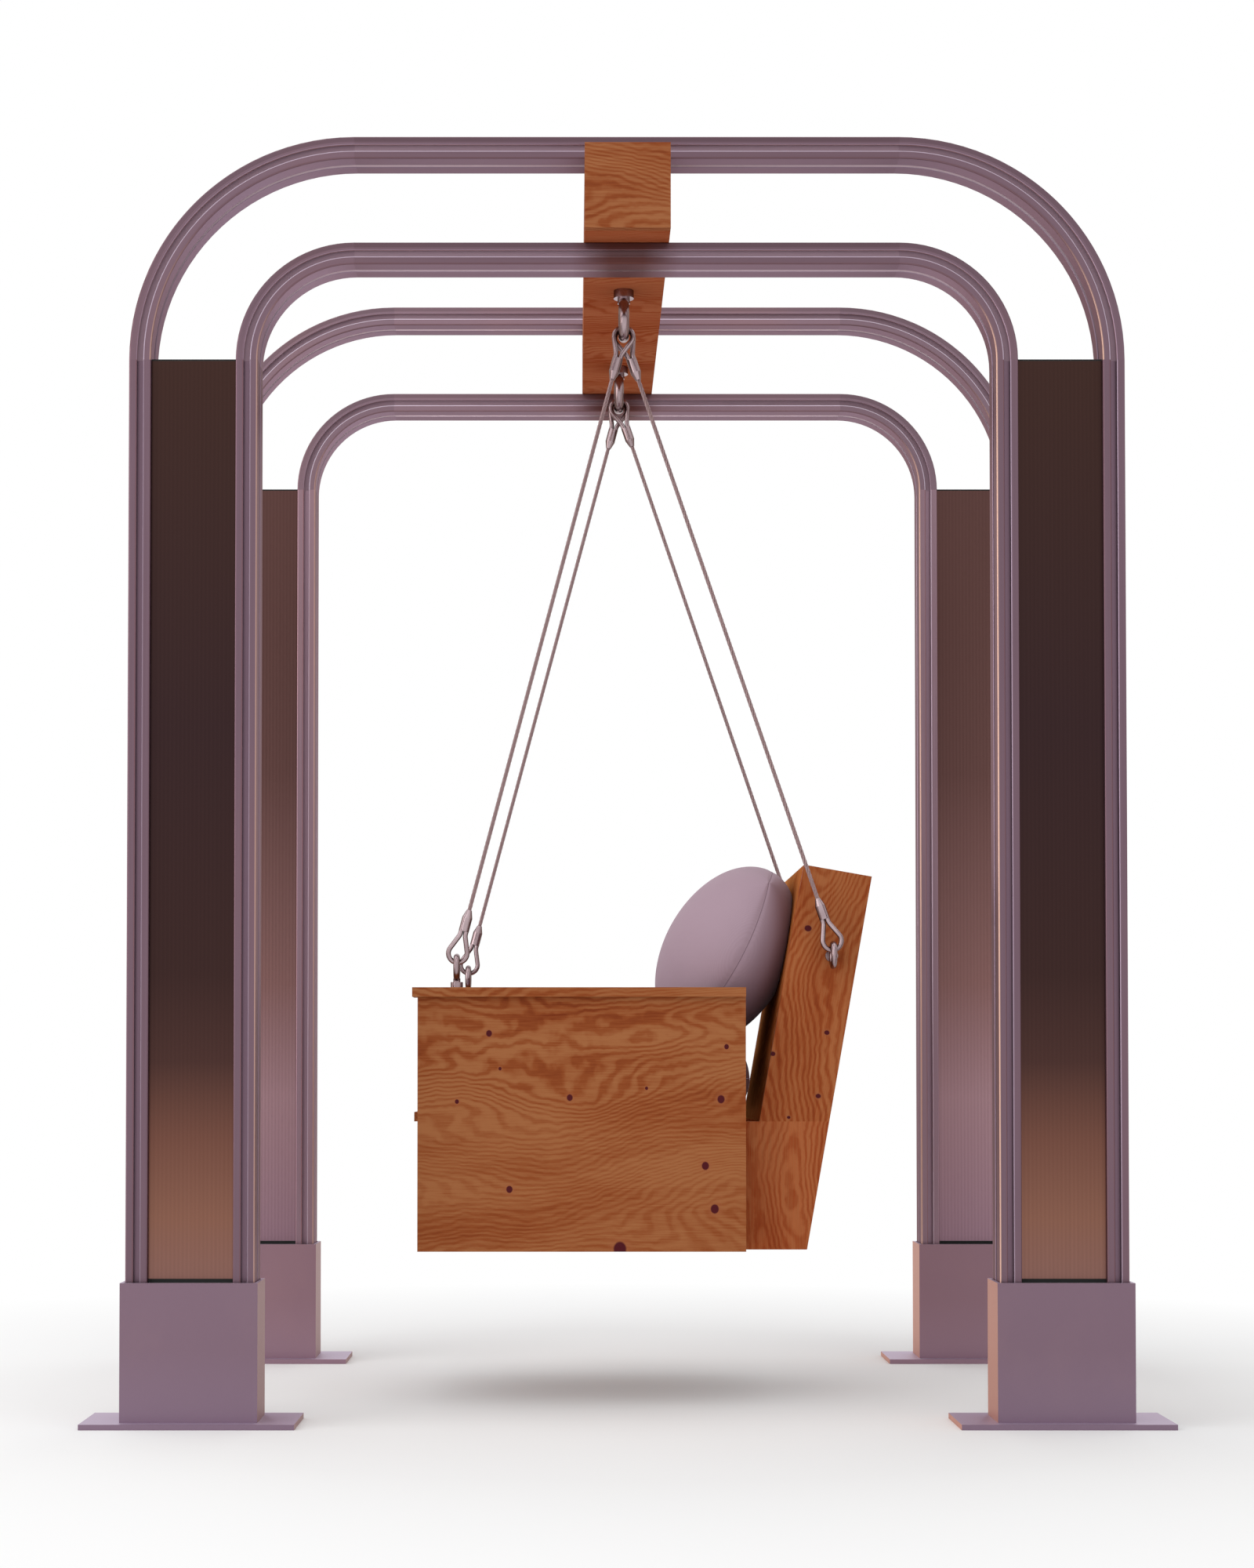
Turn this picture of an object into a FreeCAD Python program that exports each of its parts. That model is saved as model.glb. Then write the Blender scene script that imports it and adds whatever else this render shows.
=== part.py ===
import FreeCAD, Part
import math
import os

# A garden swing: a plywood seat on wire ropes, hung from a box beam that two slotted bar portals carry.
# Millimetres. +X runs to the rear of the seat, +Y to the sitter's right and +Z up. The origin lies on
# the ground, midway between the four feet.

# Portals
arch_width = 1812.0
arch_height = 2344.0
portal_spacing = 1022.0
bar_face = 40.0
bar_depth = 80.0
arch_gap = 154.0
inner_bend_radius = 175.0

# Slotted bar
bar_corner = 2.5
slot_mouth = 11.4
slot_bevel = 0.8
slot_lip = 4.5
slot_chamber_width = 20.0
slot_chamber_depth = 6.0
core_bore = 12.0
core_offset = 20.0
joint_pin_reach = 25.0
joint_pin_clearance = 0.15

# Base shoes
plate_length = 386.0
plate_depth = 160.0
plate_thick = 10.0
sleeve_height = 250.0
sleeve_wall = 6.0
sleeve_side_clearance = 1.0
sleeve_front_clearance = 9.0

# Infill panels
panel_thick = 60.0
panel_clearance = 0.3
panel_skin = 3.0
panel_web = 2.0
panel_channel_count = 6
gasket_height = 6.0

# Box beam
ply = 18.0
beam_width = 154.0
beam_overhang = 80.0

# Bolts that hold the beam in the slots of the bars
slot_bolt = 8.0
slot_bolt_spread = 40.0
slot_bolt_tail = 12.0
slot_head_clearance = 0.5
slot_nut_across = 13.0
slot_nut_height = 8.0
slot_nut_flange = 18.0
slot_nut_flange_height = 2.0
hole_clearance = 0.5
thread_clearance = 0.1

# Eyebolts under the beam
beam_eye_spacing = 528.0
beam_eye_bar = 20.0
beam_eye_outer = 84.0
beam_eye_rise = 57.0
beam_eye_collar = 39.0
beam_eye_collar_height = 15.0
beam_eye_neck = 24.0
beam_eye_shank = 20.0
beam_eye_plate = 70.0
beam_eye_plate_thick = 5.0
beam_eye_nut_across = 30.0
beam_eye_nut_height = 16.0
beam_eye_tail = 6.0

# Eyebolts on the seat
seat_eye_bar = 12.0
seat_eye_outer = 54.0
seat_eye_rise = 39.0
seat_eye_collar = 24.0
seat_eye_collar_height = 11.0
seat_eye_neck = 14.0
seat_eye_shank = 12.0
seat_eye_washer = 22.0
seat_eye_washer_thick = 2.5
seat_eye_nut_across = 18.0
seat_eye_nut_height = 10.0
seat_eye_tail = 4.0
arm_eye_setback = 83.5
back_eye_rear_inset = 52.0
back_eye_height = 320.0

# Wire ropes, thimbles and ferrules
rope_diameter = 8.0
thimble_rod = 9.6
thimble_radius = 18.0
thimble_reach = 44.0
thimble_stub = 8.0
thimble_spacing = 12.4
thimble_seat_gap = 0.4
rod_pair_gap = 0.2
ferrule_mouth_gap = 0.1
ferrule_diameter = 20.0
ferrule_length = 27.0
ferrule_cone_length = 15.0
ferrule_cone_tip = 10.0

# Plywood seat
seat_clearance = 297.0
seat_inner_width = 468.0
arm_front = -395.0
arm_length = 627.0
arm_height = 504.0
arm_cavity = 24.0
arm_top_overhang = 10.0
base_height = 247.0
seat_board_rear_gap = 36.0
board_clearance = 0.3
back_front = 262.0
back_length = 504.6
back_thick = 133.0
back_lean = 10.0
back_front_thick = 12.0
back_rear_thick = 9.0

# Cushions
cushion_gap = 0.3
crown_angle = 80.0
crown_steps = 4
seat_cushion_thick = 130.0
seat_cushion_front_inset = 10.0
seat_cushion_rear_gap = 10.0
seat_cushion_side_gap = 6.0
seat_cushion_edge = 45.0
seat_cushion_corner = 40.0
back_cushion_height = 389.0
back_cushion_side_gap = 14.0
back_cushion_front_crown = 132.0
back_cushion_rear_crown = 118.0
back_cushion_corner = 170.0
back_cushion_lean = 27.5
back_cushion_press = 27.0
back_cushion_start = 100.0

# Places that several pieces share
sides = (("left", -1), ("right", 1))
ends = (("front", -1), ("rear", 1))
portal_y = portal_spacing / 2
arch_step = bar_face + arch_gap
bend_outer_radius = inner_bend_radius + bar_face + arch_step
bend_x = arch_width / 2 - bend_outer_radius
bend_z = arch_height - bend_outer_radius
bend_radius = {
    "outer": bend_outer_radius - bar_face / 2,
    "inner": inner_bend_radius + bar_face / 2,
}
shoe_x = arch_width / 2 - bar_face - arch_gap / 2
sleeve_top = plate_thick + sleeve_height
beam_bottom = bend_z + inner_bend_radius + bar_face
beam_top = beam_bottom + arch_gap
beam_half_length = portal_y + bar_depth / 2 + beam_overhang
beam_eye_y = beam_eye_spacing / 2
beam_eye_ring = (beam_eye_outer - beam_eye_bar) / 2
hinge_z = beam_bottom - beam_eye_rise - beam_eye_ring
seat_eye_ring = (seat_eye_outer - seat_eye_bar) / 2
arm_inner = seat_inner_width / 2
arm_outer = arm_inner + 2 * ply + arm_cavity
arm_rear = arm_front + arm_length
arm_top = seat_clearance + arm_height
base_top = seat_clearance + base_height
stile_inner = arm_inner - ply

Vector = FreeCAD.Vector
along_x = Vector(1, 0, 0)
along_y = Vector(0, 1, 0)
along_z = Vector(0, 0, 1)
origin = Vector(0, 0, 0)
nodes = {}


def box(x_range, y_range, z_range):
    size = [high - low for low, high in (x_range, y_range, z_range)]
    return Part.makeBox(*size, Vector(x_range[0], y_range[0], z_range[0]))


def span(sign, inner, outer):
    return tuple(sorted((sign * inner, sign * outer)))


def rod(diameter, start, end):
    line = end - start
    return Part.makeCylinder(diameter / 2, line.Length, start, line)


def upright_slab(points, y_range):
    corners = [Vector(x, y_range[0], z) for x, z in points]
    face = Part.Face(Part.makePolygon(corners + corners[:1]))
    return face.extrude(Vector(0, y_range[1] - y_range[0], 0))


def turned(shape, axis, angle, place=origin):
    return shape.rotated(origin, axis, angle).translated(place)


def hex_prism(across, height):
    radius = across / math.sqrt(3)
    corners = [Vector(radius, 0, 0)]
    for step in range(1, 6):
        corners.append(turned(Part.Vertex(corners[0]), along_z, 60 * step).Point)
    return Part.Face(Part.makePolygon(corners + corners[:1])).extrude(Vector(0, 0, height))


# Slotted bar: one slot in the middle of each face and two bores for the joint pins


def bar_section():
    corner = bar_corner
    mouth = slot_mouth / 2
    chamber = slot_chamber_width / 2
    floor = slot_lip + slot_chamber_depth
    edges = []
    corner_starts = []
    for turn in range(4):
        half_along = (bar_face if turn % 2 == 0 else bar_depth) / 2
        half_out = (bar_depth if turn % 2 == 0 else bar_face) / 2
        half = [(0, floor), (chamber, floor), (chamber, slot_lip), (mouth, slot_lip)]
        half += [(mouth, slot_bevel), (mouth + slot_bevel, 0), (half_along - corner, 0)]
        outline = [(-along, inward) for along, inward in reversed(half[1:])] + half[1:]
        diagonal = corner * (1 - math.sqrt(0.5))
        outline.append((half_along - diagonal, diagonal))
        quarter = FreeCAD.Rotation(along_z, 90 * turn)
        points = [quarter.multVec(Vector(along, inward - half_out, 0)) for along, inward in outline]
        corner_starts.append((points[0], points[-2], points[-1]))
        edges.append([Part.makeLine(a, b) for a, b in zip(points[:-2], points[1:-1])])
    loop = []
    for turn in range(4):
        start, last, middle = corner_starts[turn]
        following = corner_starts[(turn + 1) % 4][0]
        loop += edges[turn] + [Part.Arc(last, middle, following).toShape()]
    face = Part.Face(Part.Wire(loop))
    for offset in (-core_offset, core_offset):
        face = face.cut(round_face(core_bore, Vector(0, offset, 0)))
    return face.Faces[0]


def round_face(diameter, centre):
    return Part.Face(Part.Wire(Part.makeCircle(diameter / 2, centre)))


def upright_bar(section, x, y, low, high):
    return section.translated(Vector(x, y, low)).extrude(Vector(0, 0, high - low))


def level_bar(section, y, z, low, high):
    return turned(section, along_y, 90, Vector(low, y, z)).extrude(Vector(high - low, 0, 0))


def quarter_bend(section, y, radius, angle=90.0, start=0.0):
    # swept about the centre of the rear upper corner, from the leg up to the top bar
    centre = Vector(bend_x, y, bend_z)
    placed = section.translated(centre + Vector(radius, 0, 0)).rotated(centre, along_y, -start)
    return placed.revolve(centre, Vector(0, -1, 0), angle)


def rear_or_front(shape, end):
    return shape if end > 0 else shape.mirror(origin, along_x)


def joint_pins(y, radius):
    # two pins in each joint: a straight half in the bar and a curved half in the bend
    pins = []
    sweep = math.degrees(joint_pin_reach / radius)
    for offset in (-core_offset, core_offset):
        section = round_face(core_bore - 2 * joint_pin_clearance, Vector(0, offset, 0))
        leg_half = upright_bar(section, bend_x + radius, y, bend_z - joint_pin_reach, bend_z)
        pins.append(leg_half.fuse(quarter_bend(section, y, radius, sweep)))
        top_half = level_bar(section, y, bend_z + radius, bend_x - joint_pin_reach, bend_x)
        pins.append(top_half.fuse(quarter_bend(section, y, radius, sweep, 90 - sweep)))
    return pins


def make_portals():
    section = bar_section()
    pins = []
    for side, sign in sides:
        y = sign * portal_y
        for arch, radius in bend_radius.items():
            leg_x = bend_x + radius
            bend = quarter_bend(section, y, radius)
            for end, direction in ends:
                leg = upright_bar(section, direction * leg_x, y, plate_thick, bend_z)
                nodes[f"{side}_{arch}_{end}_leg"] = [leg]
                pins += [rear_or_front(pin, direction) for pin in joint_pins(y, radius)]
            nodes[f"{side}_{arch}_bends"] = [rear_or_front(bend, direction) for end, direction in ends]
            nodes[f"{side}_{arch}_top_bar"] = [level_bar(section, y, bend_z + radius, -bend_x, bend_x)]
    nodes["arch_joint_pins"] = pins


def base_shoe(x, y):
    plate_long = (-plate_length / 2, plate_length / 2)
    plate_deep = (-plate_depth / 2, plate_depth / 2)
    plate = box(plate_long, plate_deep, (0, plate_thick))
    half_length = bar_face + arch_gap / 2 + sleeve_side_clearance
    half_depth = bar_depth / 2 + sleeve_front_clearance
    hollow = box((-half_length, half_length), (-half_depth, half_depth), (plate_thick, sleeve_top))
    half_length += sleeve_wall
    half_depth += sleeve_wall
    sleeve = box((-half_length, half_length), (-half_depth, half_depth), (plate_thick, sleeve_top))
    return plate.fuse(sleeve.cut(hollow)).removeSplitter().translated(Vector(x, y, 0))


def infill_panel(x, y):
    half_width = arch_gap / 2 - panel_clearance
    half_thick = panel_thick / 2
    low = sleeve_top + gasket_height
    panel = box((-half_width, half_width), (-half_thick, half_thick), (low, bend_z))
    room = 2 * (half_width - panel_skin) + panel_web
    step = room / panel_channel_count
    for index in range(panel_channel_count):
        left = -half_width + panel_skin + index * step
        inside = (panel_skin - half_thick, half_thick - panel_skin)
        panel = panel.cut(box((left, left + step - panel_web), inside, (low, bend_z)))
    return panel.translated(Vector(x, y, 0))


def make_feet_and_panels():
    spacers = []
    gaskets = []
    width = (-arch_gap / 2 + panel_clearance, arch_gap / 2 - panel_clearance)
    thick = (-panel_thick / 2, panel_thick / 2)
    spacer = box(width, thick, (plate_thick, sleeve_top))
    gasket = box(width, thick, (sleeve_top, sleeve_top + gasket_height))
    for side, sign in sides:
        for end, direction in ends:
            x = direction * shoe_x
            y = sign * portal_y
            nodes[f"{side}_{end}_base_shoe"] = [base_shoe(x, y)]
            nodes[f"{side}_{end}_infill_panel"] = [infill_panel(x, y)]
            spacers.append(spacer.translated(Vector(x, y, 0)))
            gaskets.append(gasket.translated(Vector(x, y, 0)))
    nodes["leg_spacers"] = spacers
    nodes["panel_gaskets"] = gaskets


# Box beam with its bolts


def slot_bolt_with_nut():
    # stands on the slotted face at height 0: the head is caught under the lips, the nut is above the board
    head_wide = slot_chamber_width - 2 * slot_head_clearance
    head_long = slot_mouth - 2 * slot_head_clearance
    head_low = -slot_lip - slot_chamber_depth + slot_head_clearance
    head = box((-head_long / 2, head_long / 2), (-head_wide / 2, head_wide / 2), (head_low, -slot_lip))
    bolt = head.fuse(rod(slot_bolt, Vector(0, 0, -slot_lip), Vector(0, 0, ply + slot_bolt_tail)))
    flange = rod(slot_nut_flange, origin, along_z * slot_nut_flange_height)
    nut = hex_prism(slot_nut_across, slot_nut_height).fuse(flange)
    bore = rod(slot_bolt + 2 * thread_clearance, origin, along_z * slot_nut_height)
    return [bolt, nut.cut(bore).removeSplitter().translated(Vector(0, 0, ply))]


def make_beam():
    half = beam_width / 2
    length = (ply - beam_half_length, beam_half_length - ply)
    bottom = box((-half, half), length, (beam_bottom, beam_bottom + ply))
    top = box((-half, half), length, (beam_top - ply, beam_top))
    web_height = (beam_bottom + ply, beam_top - ply)
    fixings = []
    for side, sign in sides:
        eye_y = sign * beam_eye_y
        eye_hole = beam_eye_shank + 2 * hole_clearance
        eye_foot = Vector(0, eye_y, beam_bottom)
        bottom = bottom.cut(rod(eye_hole, eye_foot, eye_foot + along_z * ply))
        for end, direction in ends:
            x = direction * slot_bolt_spread
            y = sign * portal_y
            hole = rod(slot_bolt + 2 * hole_clearance, Vector(x, y, beam_bottom), Vector(x, y, beam_top))
            bottom = bottom.cut(hole)
            top = top.cut(hole)
            for piece in slot_bolt_with_nut():
                fixings.append(piece.translated(Vector(x, y, beam_bottom)))
                fixings.append(turned(piece, along_x, 180, Vector(x, y, beam_top)))
        cap = span(sign, beam_half_length - ply, beam_half_length)
        nodes[f"beam_{side}_end_cap"] = [box((-half, half), cap, (beam_bottom, beam_top))]
    for end, direction in ends:
        nodes[f"beam_{end}_web"] = [box(span(direction, half - ply, half), length, web_height)]
    nodes["beam_bottom_board"] = [bottom]
    nodes["beam_top_board"] = [top]
    nodes["beam_fixings"] = fixings


# Eyebolts: the seat face is at height 0, the ring stands above it and the shank goes down


def eyebolt(bar, outer, rise, collar, collar_height, neck, shank, shank_length):
    ring = (outer - bar) / 2
    eye = Part.makeTorus(ring, bar / 2, Vector(0, 0, rise), along_x)
    base = rod(collar, origin, Vector(0, 0, collar_height))
    stem = rod(neck, Vector(0, 0, collar_height), Vector(0, 0, rise - ring))
    tail = rod(shank, Vector(0, 0, -shank_length), origin)
    inside = rod(outer - bar, Vector(-neck, 0, rise), Vector(neck, 0, rise)).cut(eye)
    return eye.fuse([base, stem.cut(inside), tail])


def beam_eyebolt(sign):
    length = ply + beam_eye_plate_thick + beam_eye_nut_height + beam_eye_tail
    bolt = eyebolt(beam_eye_bar, beam_eye_outer, beam_eye_rise, beam_eye_collar, beam_eye_collar_height,
                   beam_eye_neck, beam_eye_shank, length)
    return turned(bolt, along_x, 180, Vector(0, sign * beam_eye_y, beam_bottom))


def beam_eye_nut(sign):
    bore = rod(beam_eye_shank + 2 * thread_clearance, origin, along_z * beam_bottom)
    half = beam_eye_plate / 2
    plate = box((-half, half), (-half, half), (0, beam_eye_plate_thick))
    nut = hex_prism(beam_eye_nut_across, beam_eye_nut_height).translated(Vector(0, 0, beam_eye_plate_thick))
    place = Vector(0, sign * beam_eye_y, beam_bottom + ply)
    return [piece.cut(bore).translated(place) for piece in (plate, nut)]


def seat_eyebolt(axis, angle, place):
    length = ply + seat_eye_washer_thick + seat_eye_nut_height + seat_eye_tail
    bolt = eyebolt(seat_eye_bar, seat_eye_outer, seat_eye_rise, seat_eye_collar, seat_eye_collar_height,
                   seat_eye_neck, seat_eye_shank, length)
    bore = rod(seat_eye_shank + 2 * thread_clearance, Vector(0, 0, -length), origin)
    washer_low = -ply - seat_eye_washer_thick
    washer = rod(seat_eye_washer, Vector(0, 0, washer_low), Vector(0, 0, -ply)).cut(bore)
    nut_low = washer_low - seat_eye_nut_height
    nut = hex_prism(seat_eye_nut_across, seat_eye_nut_height).translated(Vector(0, 0, nut_low)).cut(bore)
    return [turned(piece, axis, angle, place) for piece in (bolt, washer, nut)]


# Seat geometry in the side view, as points of x and z

lean = math.radians(back_lean)
back_foot = (back_front, base_top)


def back_point(up, deep):
    # up the front edge of the back from its foot, and then square into its thickness
    x = back_foot[0] + up * math.sin(lean) + deep * math.cos(lean)
    z = back_foot[1] + up * math.cos(lean) - deep * math.sin(lean)
    return (x, z)


def level_point(deep, z):
    # the line that runs at that depth in the back, where it crosses a height
    x = back_foot[0] + deep / math.cos(lean) + (z - back_foot[1]) * math.tan(lean)
    return (x, z)


arm_eye_x = arm_front - arm_top_overhang + arm_eye_setback
arm_eye_y = arm_inner + ply + arm_cavity / 2
back_eye_z = base_top + back_eye_height
back_eye_x = level_point(back_thick, back_eye_z)[0] - back_eye_rear_inset


def make_eyebolts():
    nuts = []
    seat_eyes = []
    for side, sign in sides:
        nodes[f"{side}_beam_eyebolt"] = [beam_eyebolt(sign)]
        nuts += beam_eye_nut(sign)
        seat_eyes += seat_eyebolt(along_x, 0, Vector(arm_eye_x, sign * arm_eye_y, arm_top))
        seat_eyes += seat_eyebolt(along_x, -90 * sign, Vector(back_eye_x, sign * arm_inner, back_eye_z))
    nodes["beam_eyebolt_nuts"] = nuts
    nodes["seat_eyebolts"] = seat_eyes


# Wire ropes: each runs on the straight line between its two eyes


def thimble():
    # the round end is about the origin, and the two rods draw together and run up to the ferrule
    clear_of_axis = (thimble_rod + rod_pair_gap) / 2
    corner = Vector(clear_of_axis, 0, thimble_reach - thimble_stub)
    lift = math.atan2(corner.z, corner.x) - math.acos(thimble_radius / corner.Length)
    touch = Vector(thimble_radius * math.cos(lift), 0, thimble_radius * math.sin(lift))
    run = (touch - corner).normalize()
    turn = math.acos(-run.z)
    easing = thimble_stub * math.tan(math.pi / 2 - turn / 2) / 2
    bend_start = corner + along_z * (thimble_stub / 2)
    bend_end = corner + run * (thimble_stub / 2)
    bend_middle = corner + (run + along_z).normalize() * (easing / math.cos(turn / 2) - easing)
    mouth = Vector(clear_of_axis, 0, thimble_reach - ferrule_mouth_gap)
    half = [mouth, bend_start, bend_middle, bend_end, touch]
    other = [Vector(-point.x, 0, point.z) for point in half]
    bottom = Vector(0, 0, -thimble_radius)
    path = [Part.makeLine(mouth, bend_start), Part.Arc(bend_start, bend_middle, bend_end).toShape()]
    path += [Part.makeLine(bend_end, touch), Part.Arc(touch, bottom, other[4]).toShape()]
    path += [Part.makeLine(other[4], other[3]), Part.Arc(other[3], other[2], other[1]).toShape()]
    path.append(Part.makeLine(other[1], other[0]))
    profile = Part.Wire(Part.makeCircle(thimble_rod / 2, mouth, along_z))
    return Part.Wire(path).makePipeShell([profile], True, False)


def ferrule():
    sleeve = rod(ferrule_diameter, origin, Vector(0, 0, ferrule_length))
    cone = Part.makeCone(ferrule_diameter / 2, ferrule_cone_tip / 2, ferrule_cone_length,
                         Vector(0, 0, ferrule_length))
    return sleeve.fuse(cone)


def beam_seat_offset():
    # two thimbles lie side by side in the ring, so each rides up its curve a little
    room = beam_eye_ring - beam_eye_bar / 2 - thimble_rod / 2 - thimble_seat_gap
    height = beam_eye_ring - math.sqrt(room ** 2 - (thimble_spacing / 2) ** 2)
    return thimble_radius - height


def seat_offset():
    return thimble_radius - thimble_rod / 2 - seat_eye_bar / 2 - thimble_seat_gap


def make_ropes():
    thimbles = []
    ferrules = []
    fitting = thimble_reach + ferrule_length + ferrule_cone_length
    for side, sign in sides:
        beam_y = sign * beam_eye_y
        half_spacing = sign * thimble_spacing / 2
        arm_ring = Vector(arm_eye_x, sign * arm_eye_y, arm_top + seat_eye_rise + seat_eye_ring)
        back_ring = Vector(back_eye_x, sign * (arm_inner + seat_eye_rise), back_eye_z + seat_eye_ring)
        runs = (("front", arm_ring, beam_y + half_spacing), ("rear", back_ring, beam_y - half_spacing))
        for end, lower, upper_y in runs:
            upper = Vector(0, upper_y, hinge_z)
            line = (lower - upper).normalize()
            stops = []
            for eye, heading, offset in ((upper, line, beam_seat_offset()), (lower, -line, seat_offset())):
                across = along_y.cross(heading).normalize()
                aim = FreeCAD.Rotation(across, heading.cross(across), heading, "ZXY")
                centre = eye + heading * offset
                thimbles.append(placed(thimble(), centre, aim))
                ferrules.append(placed(ferrule(), centre + heading * thimble_reach, aim))
                stops.append(centre + heading * fitting)
            nodes[f"{side}_{end}_rope"] = [rod(rope_diameter, stops[0], stops[1])]
    nodes["thimbles"] = thimbles
    nodes["ferrules"] = ferrules


def placed(shape, place, rotation):
    moved = shape.copy()
    moved.Placement = FreeCAD.Placement(place, rotation).multiply(shape.Placement)
    return moved


# Plywood seat


def make_arms():
    length = (arm_front, arm_rear)
    height = (seat_clearance, arm_top - ply)
    top_length = (arm_front - arm_top_overhang, arm_rear)
    eye_hole = seat_eye_shank + 2 * hole_clearance
    inner_panels = []
    strips = []
    for side, sign in sides:
        inner_panels.append(box(length, span(sign, arm_inner, arm_inner + ply), height))
        nodes[f"{side}_arm_outer_panel"] = [box(length, span(sign, arm_outer - ply, arm_outer), height)]
        cavity = span(sign, arm_inner + ply, arm_outer - ply)
        strips.append(box((arm_front, arm_front + ply), cavity, height))
        strips.append(box((arm_rear - ply, arm_rear), cavity, height))
        top = box(top_length, span(sign, arm_inner, arm_outer + arm_top_overhang), (arm_top - ply, arm_top))
        eye = Vector(arm_eye_x, sign * arm_eye_y, arm_top)
        nodes[f"{side}_arm_top"] = [top.cut(rod(eye_hole, eye - along_z * ply, eye))]
    nodes["arm_inner_panels"] = inner_panels
    nodes["arm_end_strips"] = strips


def make_base_and_back():
    base_side = [(arm_front, seat_clearance), level_point(back_thick, seat_clearance)]
    base_side += [level_point(back_thick, base_top), (arm_front, base_top)]
    stile = [back_foot, back_point(back_length, 0), back_point(back_length, back_thick)]
    stile.append(level_point(back_thick, base_top))
    front_board = [back_foot, back_point(back_length, 0), back_point(back_length, back_front_thick)]
    front_board.append(level_point(back_front_thick, base_top))
    rear_deep = back_thick - back_rear_thick
    rear_board = [level_point(back_thick, seat_clearance), back_point(back_length, back_thick)]
    rear_board += [back_point(back_length, rear_deep), level_point(rear_deep, seat_clearance)]
    top_board = [back_point(back_length, back_front_thick), back_point(back_length, rear_deep)]
    top_low = back_length - ply
    top_board += [back_point(top_low, rear_deep), back_point(top_low, back_front_thick)]
    between = (-stile_inner, stile_inner)
    eye_hole = seat_eye_shank + 2 * hole_clearance
    base_sides = []
    for side, sign in sides:
        board = span(sign, stile_inner, arm_inner)
        base_sides.append(upright_slab(base_side, board))
        eye = Vector(back_eye_x, sign * arm_inner, back_eye_z)
        drill = rod(eye_hole, eye - along_y * (sign * ply), eye)
        nodes[f"{side}_back_stile"] = [upright_slab(stile, board).cut(drill)]
    nodes["base_sides"] = base_sides
    nodes["back_front_board"] = [upright_slab(front_board, between)]
    nodes["back_rear_board"] = [upright_slab(rear_board, between)]
    nodes["back_top_board"] = [upright_slab(top_board, between)]
    nodes["base_front_board"] = [box((arm_front, arm_front + ply), between, (seat_clearance, base_top))]
    half_width = arm_inner - board_clearance
    seat_length = (arm_front - arm_top_overhang, back_front - seat_board_rear_gap)
    nodes["seat_board"] = [box(seat_length, (-half_width, half_width), (base_top, base_top + ply))]


# Cushions


def cushion_outline(half_length, half_width, corner, height):
    turn_x = half_length - corner
    turn_y = half_width - corner
    bulge = corner * math.sqrt(0.5)
    edges = []
    for across, along in ((1, 1), (-1, 1), (-1, -1), (1, -1)):
        long_end = Vector(across * half_length, along * turn_y, height)
        wide_end = Vector(across * turn_x, along * half_width, height)
        middle = Vector(across * (turn_x + bulge), along * (turn_y + bulge), height)
        first, last = (long_end, wide_end) if across == along else (wide_end, long_end)
        if edges:
            edges.append(Part.makeLine(edges[-1].Vertexes[-1].Point, first))
        edges.append(Part.Arc(first, middle, last).toShape())
    edges.append(Part.makeLine(edges[-1].Vertexes[-1].Point, edges[0].Vertexes[0].Point))
    return Part.Wire(edges)


def cushion(length, width, crowns, edge, corner):
    # widest at the seam, and crowned below and above it
    rings = []
    top_angle = math.radians(crown_angle)
    for step in range(-crown_steps, crown_steps + 1):
        angle = top_angle * step / crown_steps
        crown = crowns[0] if step < 0 else crowns[1]
        inset = edge * (1 - math.cos(angle))
        height = crown * math.sin(angle) / math.sin(top_angle)
        rings.append(cushion_outline(length / 2 - inset, width / 2 - inset, corner - inset, height))
    return Part.makeLoft(rings, True, False)


def settled(shape, direction, support):
    # slides until it lies a small gap from its support
    gap = shape.distToShape(support)[0]
    while gap > 2 * cushion_gap:
        shape = shape.translated(direction * (gap - cushion_gap))
        gap = shape.distToShape(support)[0]
    return shape


def make_cushions():
    seat_front = arm_front + seat_cushion_front_inset
    seat_length = back_front - seat_cushion_rear_gap - seat_front
    seat_width = seat_inner_width - 2 * seat_cushion_side_gap
    seat_middle = base_top + ply + seat_cushion_thick / 2
    seat_crowns = (seat_cushion_thick / 2, seat_cushion_thick / 2)
    seat = cushion(seat_length, seat_width, seat_crowns, seat_cushion_edge, seat_cushion_corner)
    seat = seat.translated(Vector(seat_front + seat_length / 2, 0, seat_middle))
    back_width = seat_inner_width - 2 * back_cushion_side_gap
    back_crowns = (back_cushion_rear_crown, back_cushion_front_crown)
    back_edge = back_cushion_height / 2
    back = cushion(back_cushion_height, back_width, back_crowns, back_edge, back_cushion_corner)
    start = Vector(back_cushion_start, 0, seat_middle + back_cushion_height)
    back = turned(back, along_y, back_cushion_lean - 90, start)
    back = settled(back, -along_z, seat)
    back = settled(back, along_x, nodes["back_front_board"][0])
    # pressed flat where it leans on the front board
    behind = [back_point(0, -cushion_gap), back_point(back_length, -cushion_gap)]
    behind += [back_point(back_length, back_thick), back_point(0, back_thick)]
    board_side = upright_slab(behind, (-arm_inner, arm_inner))
    back = back.translated(along_x * back_cushion_press).cut(board_side)
    nodes["seat_cushion"] = [seat]
    nodes["back_cushion"] = [back]


make_portals()
make_feet_and_panels()
make_beam()
make_eyebolts()
make_ropes()
make_arms()
make_base_and_back()
make_cushions()

os.makedirs("parts", exist_ok=True)
for name, solids in nodes.items():
    shape = solids[0] if len(solids) == 1 else Part.makeCompound(solids)
    shape.exportStep(f"parts/{name}.step")
print(len(nodes), "nodes,", sum(len(solids) for solids in nodes.values()), "solids")
print("hinge height", hinge_z)
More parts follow.
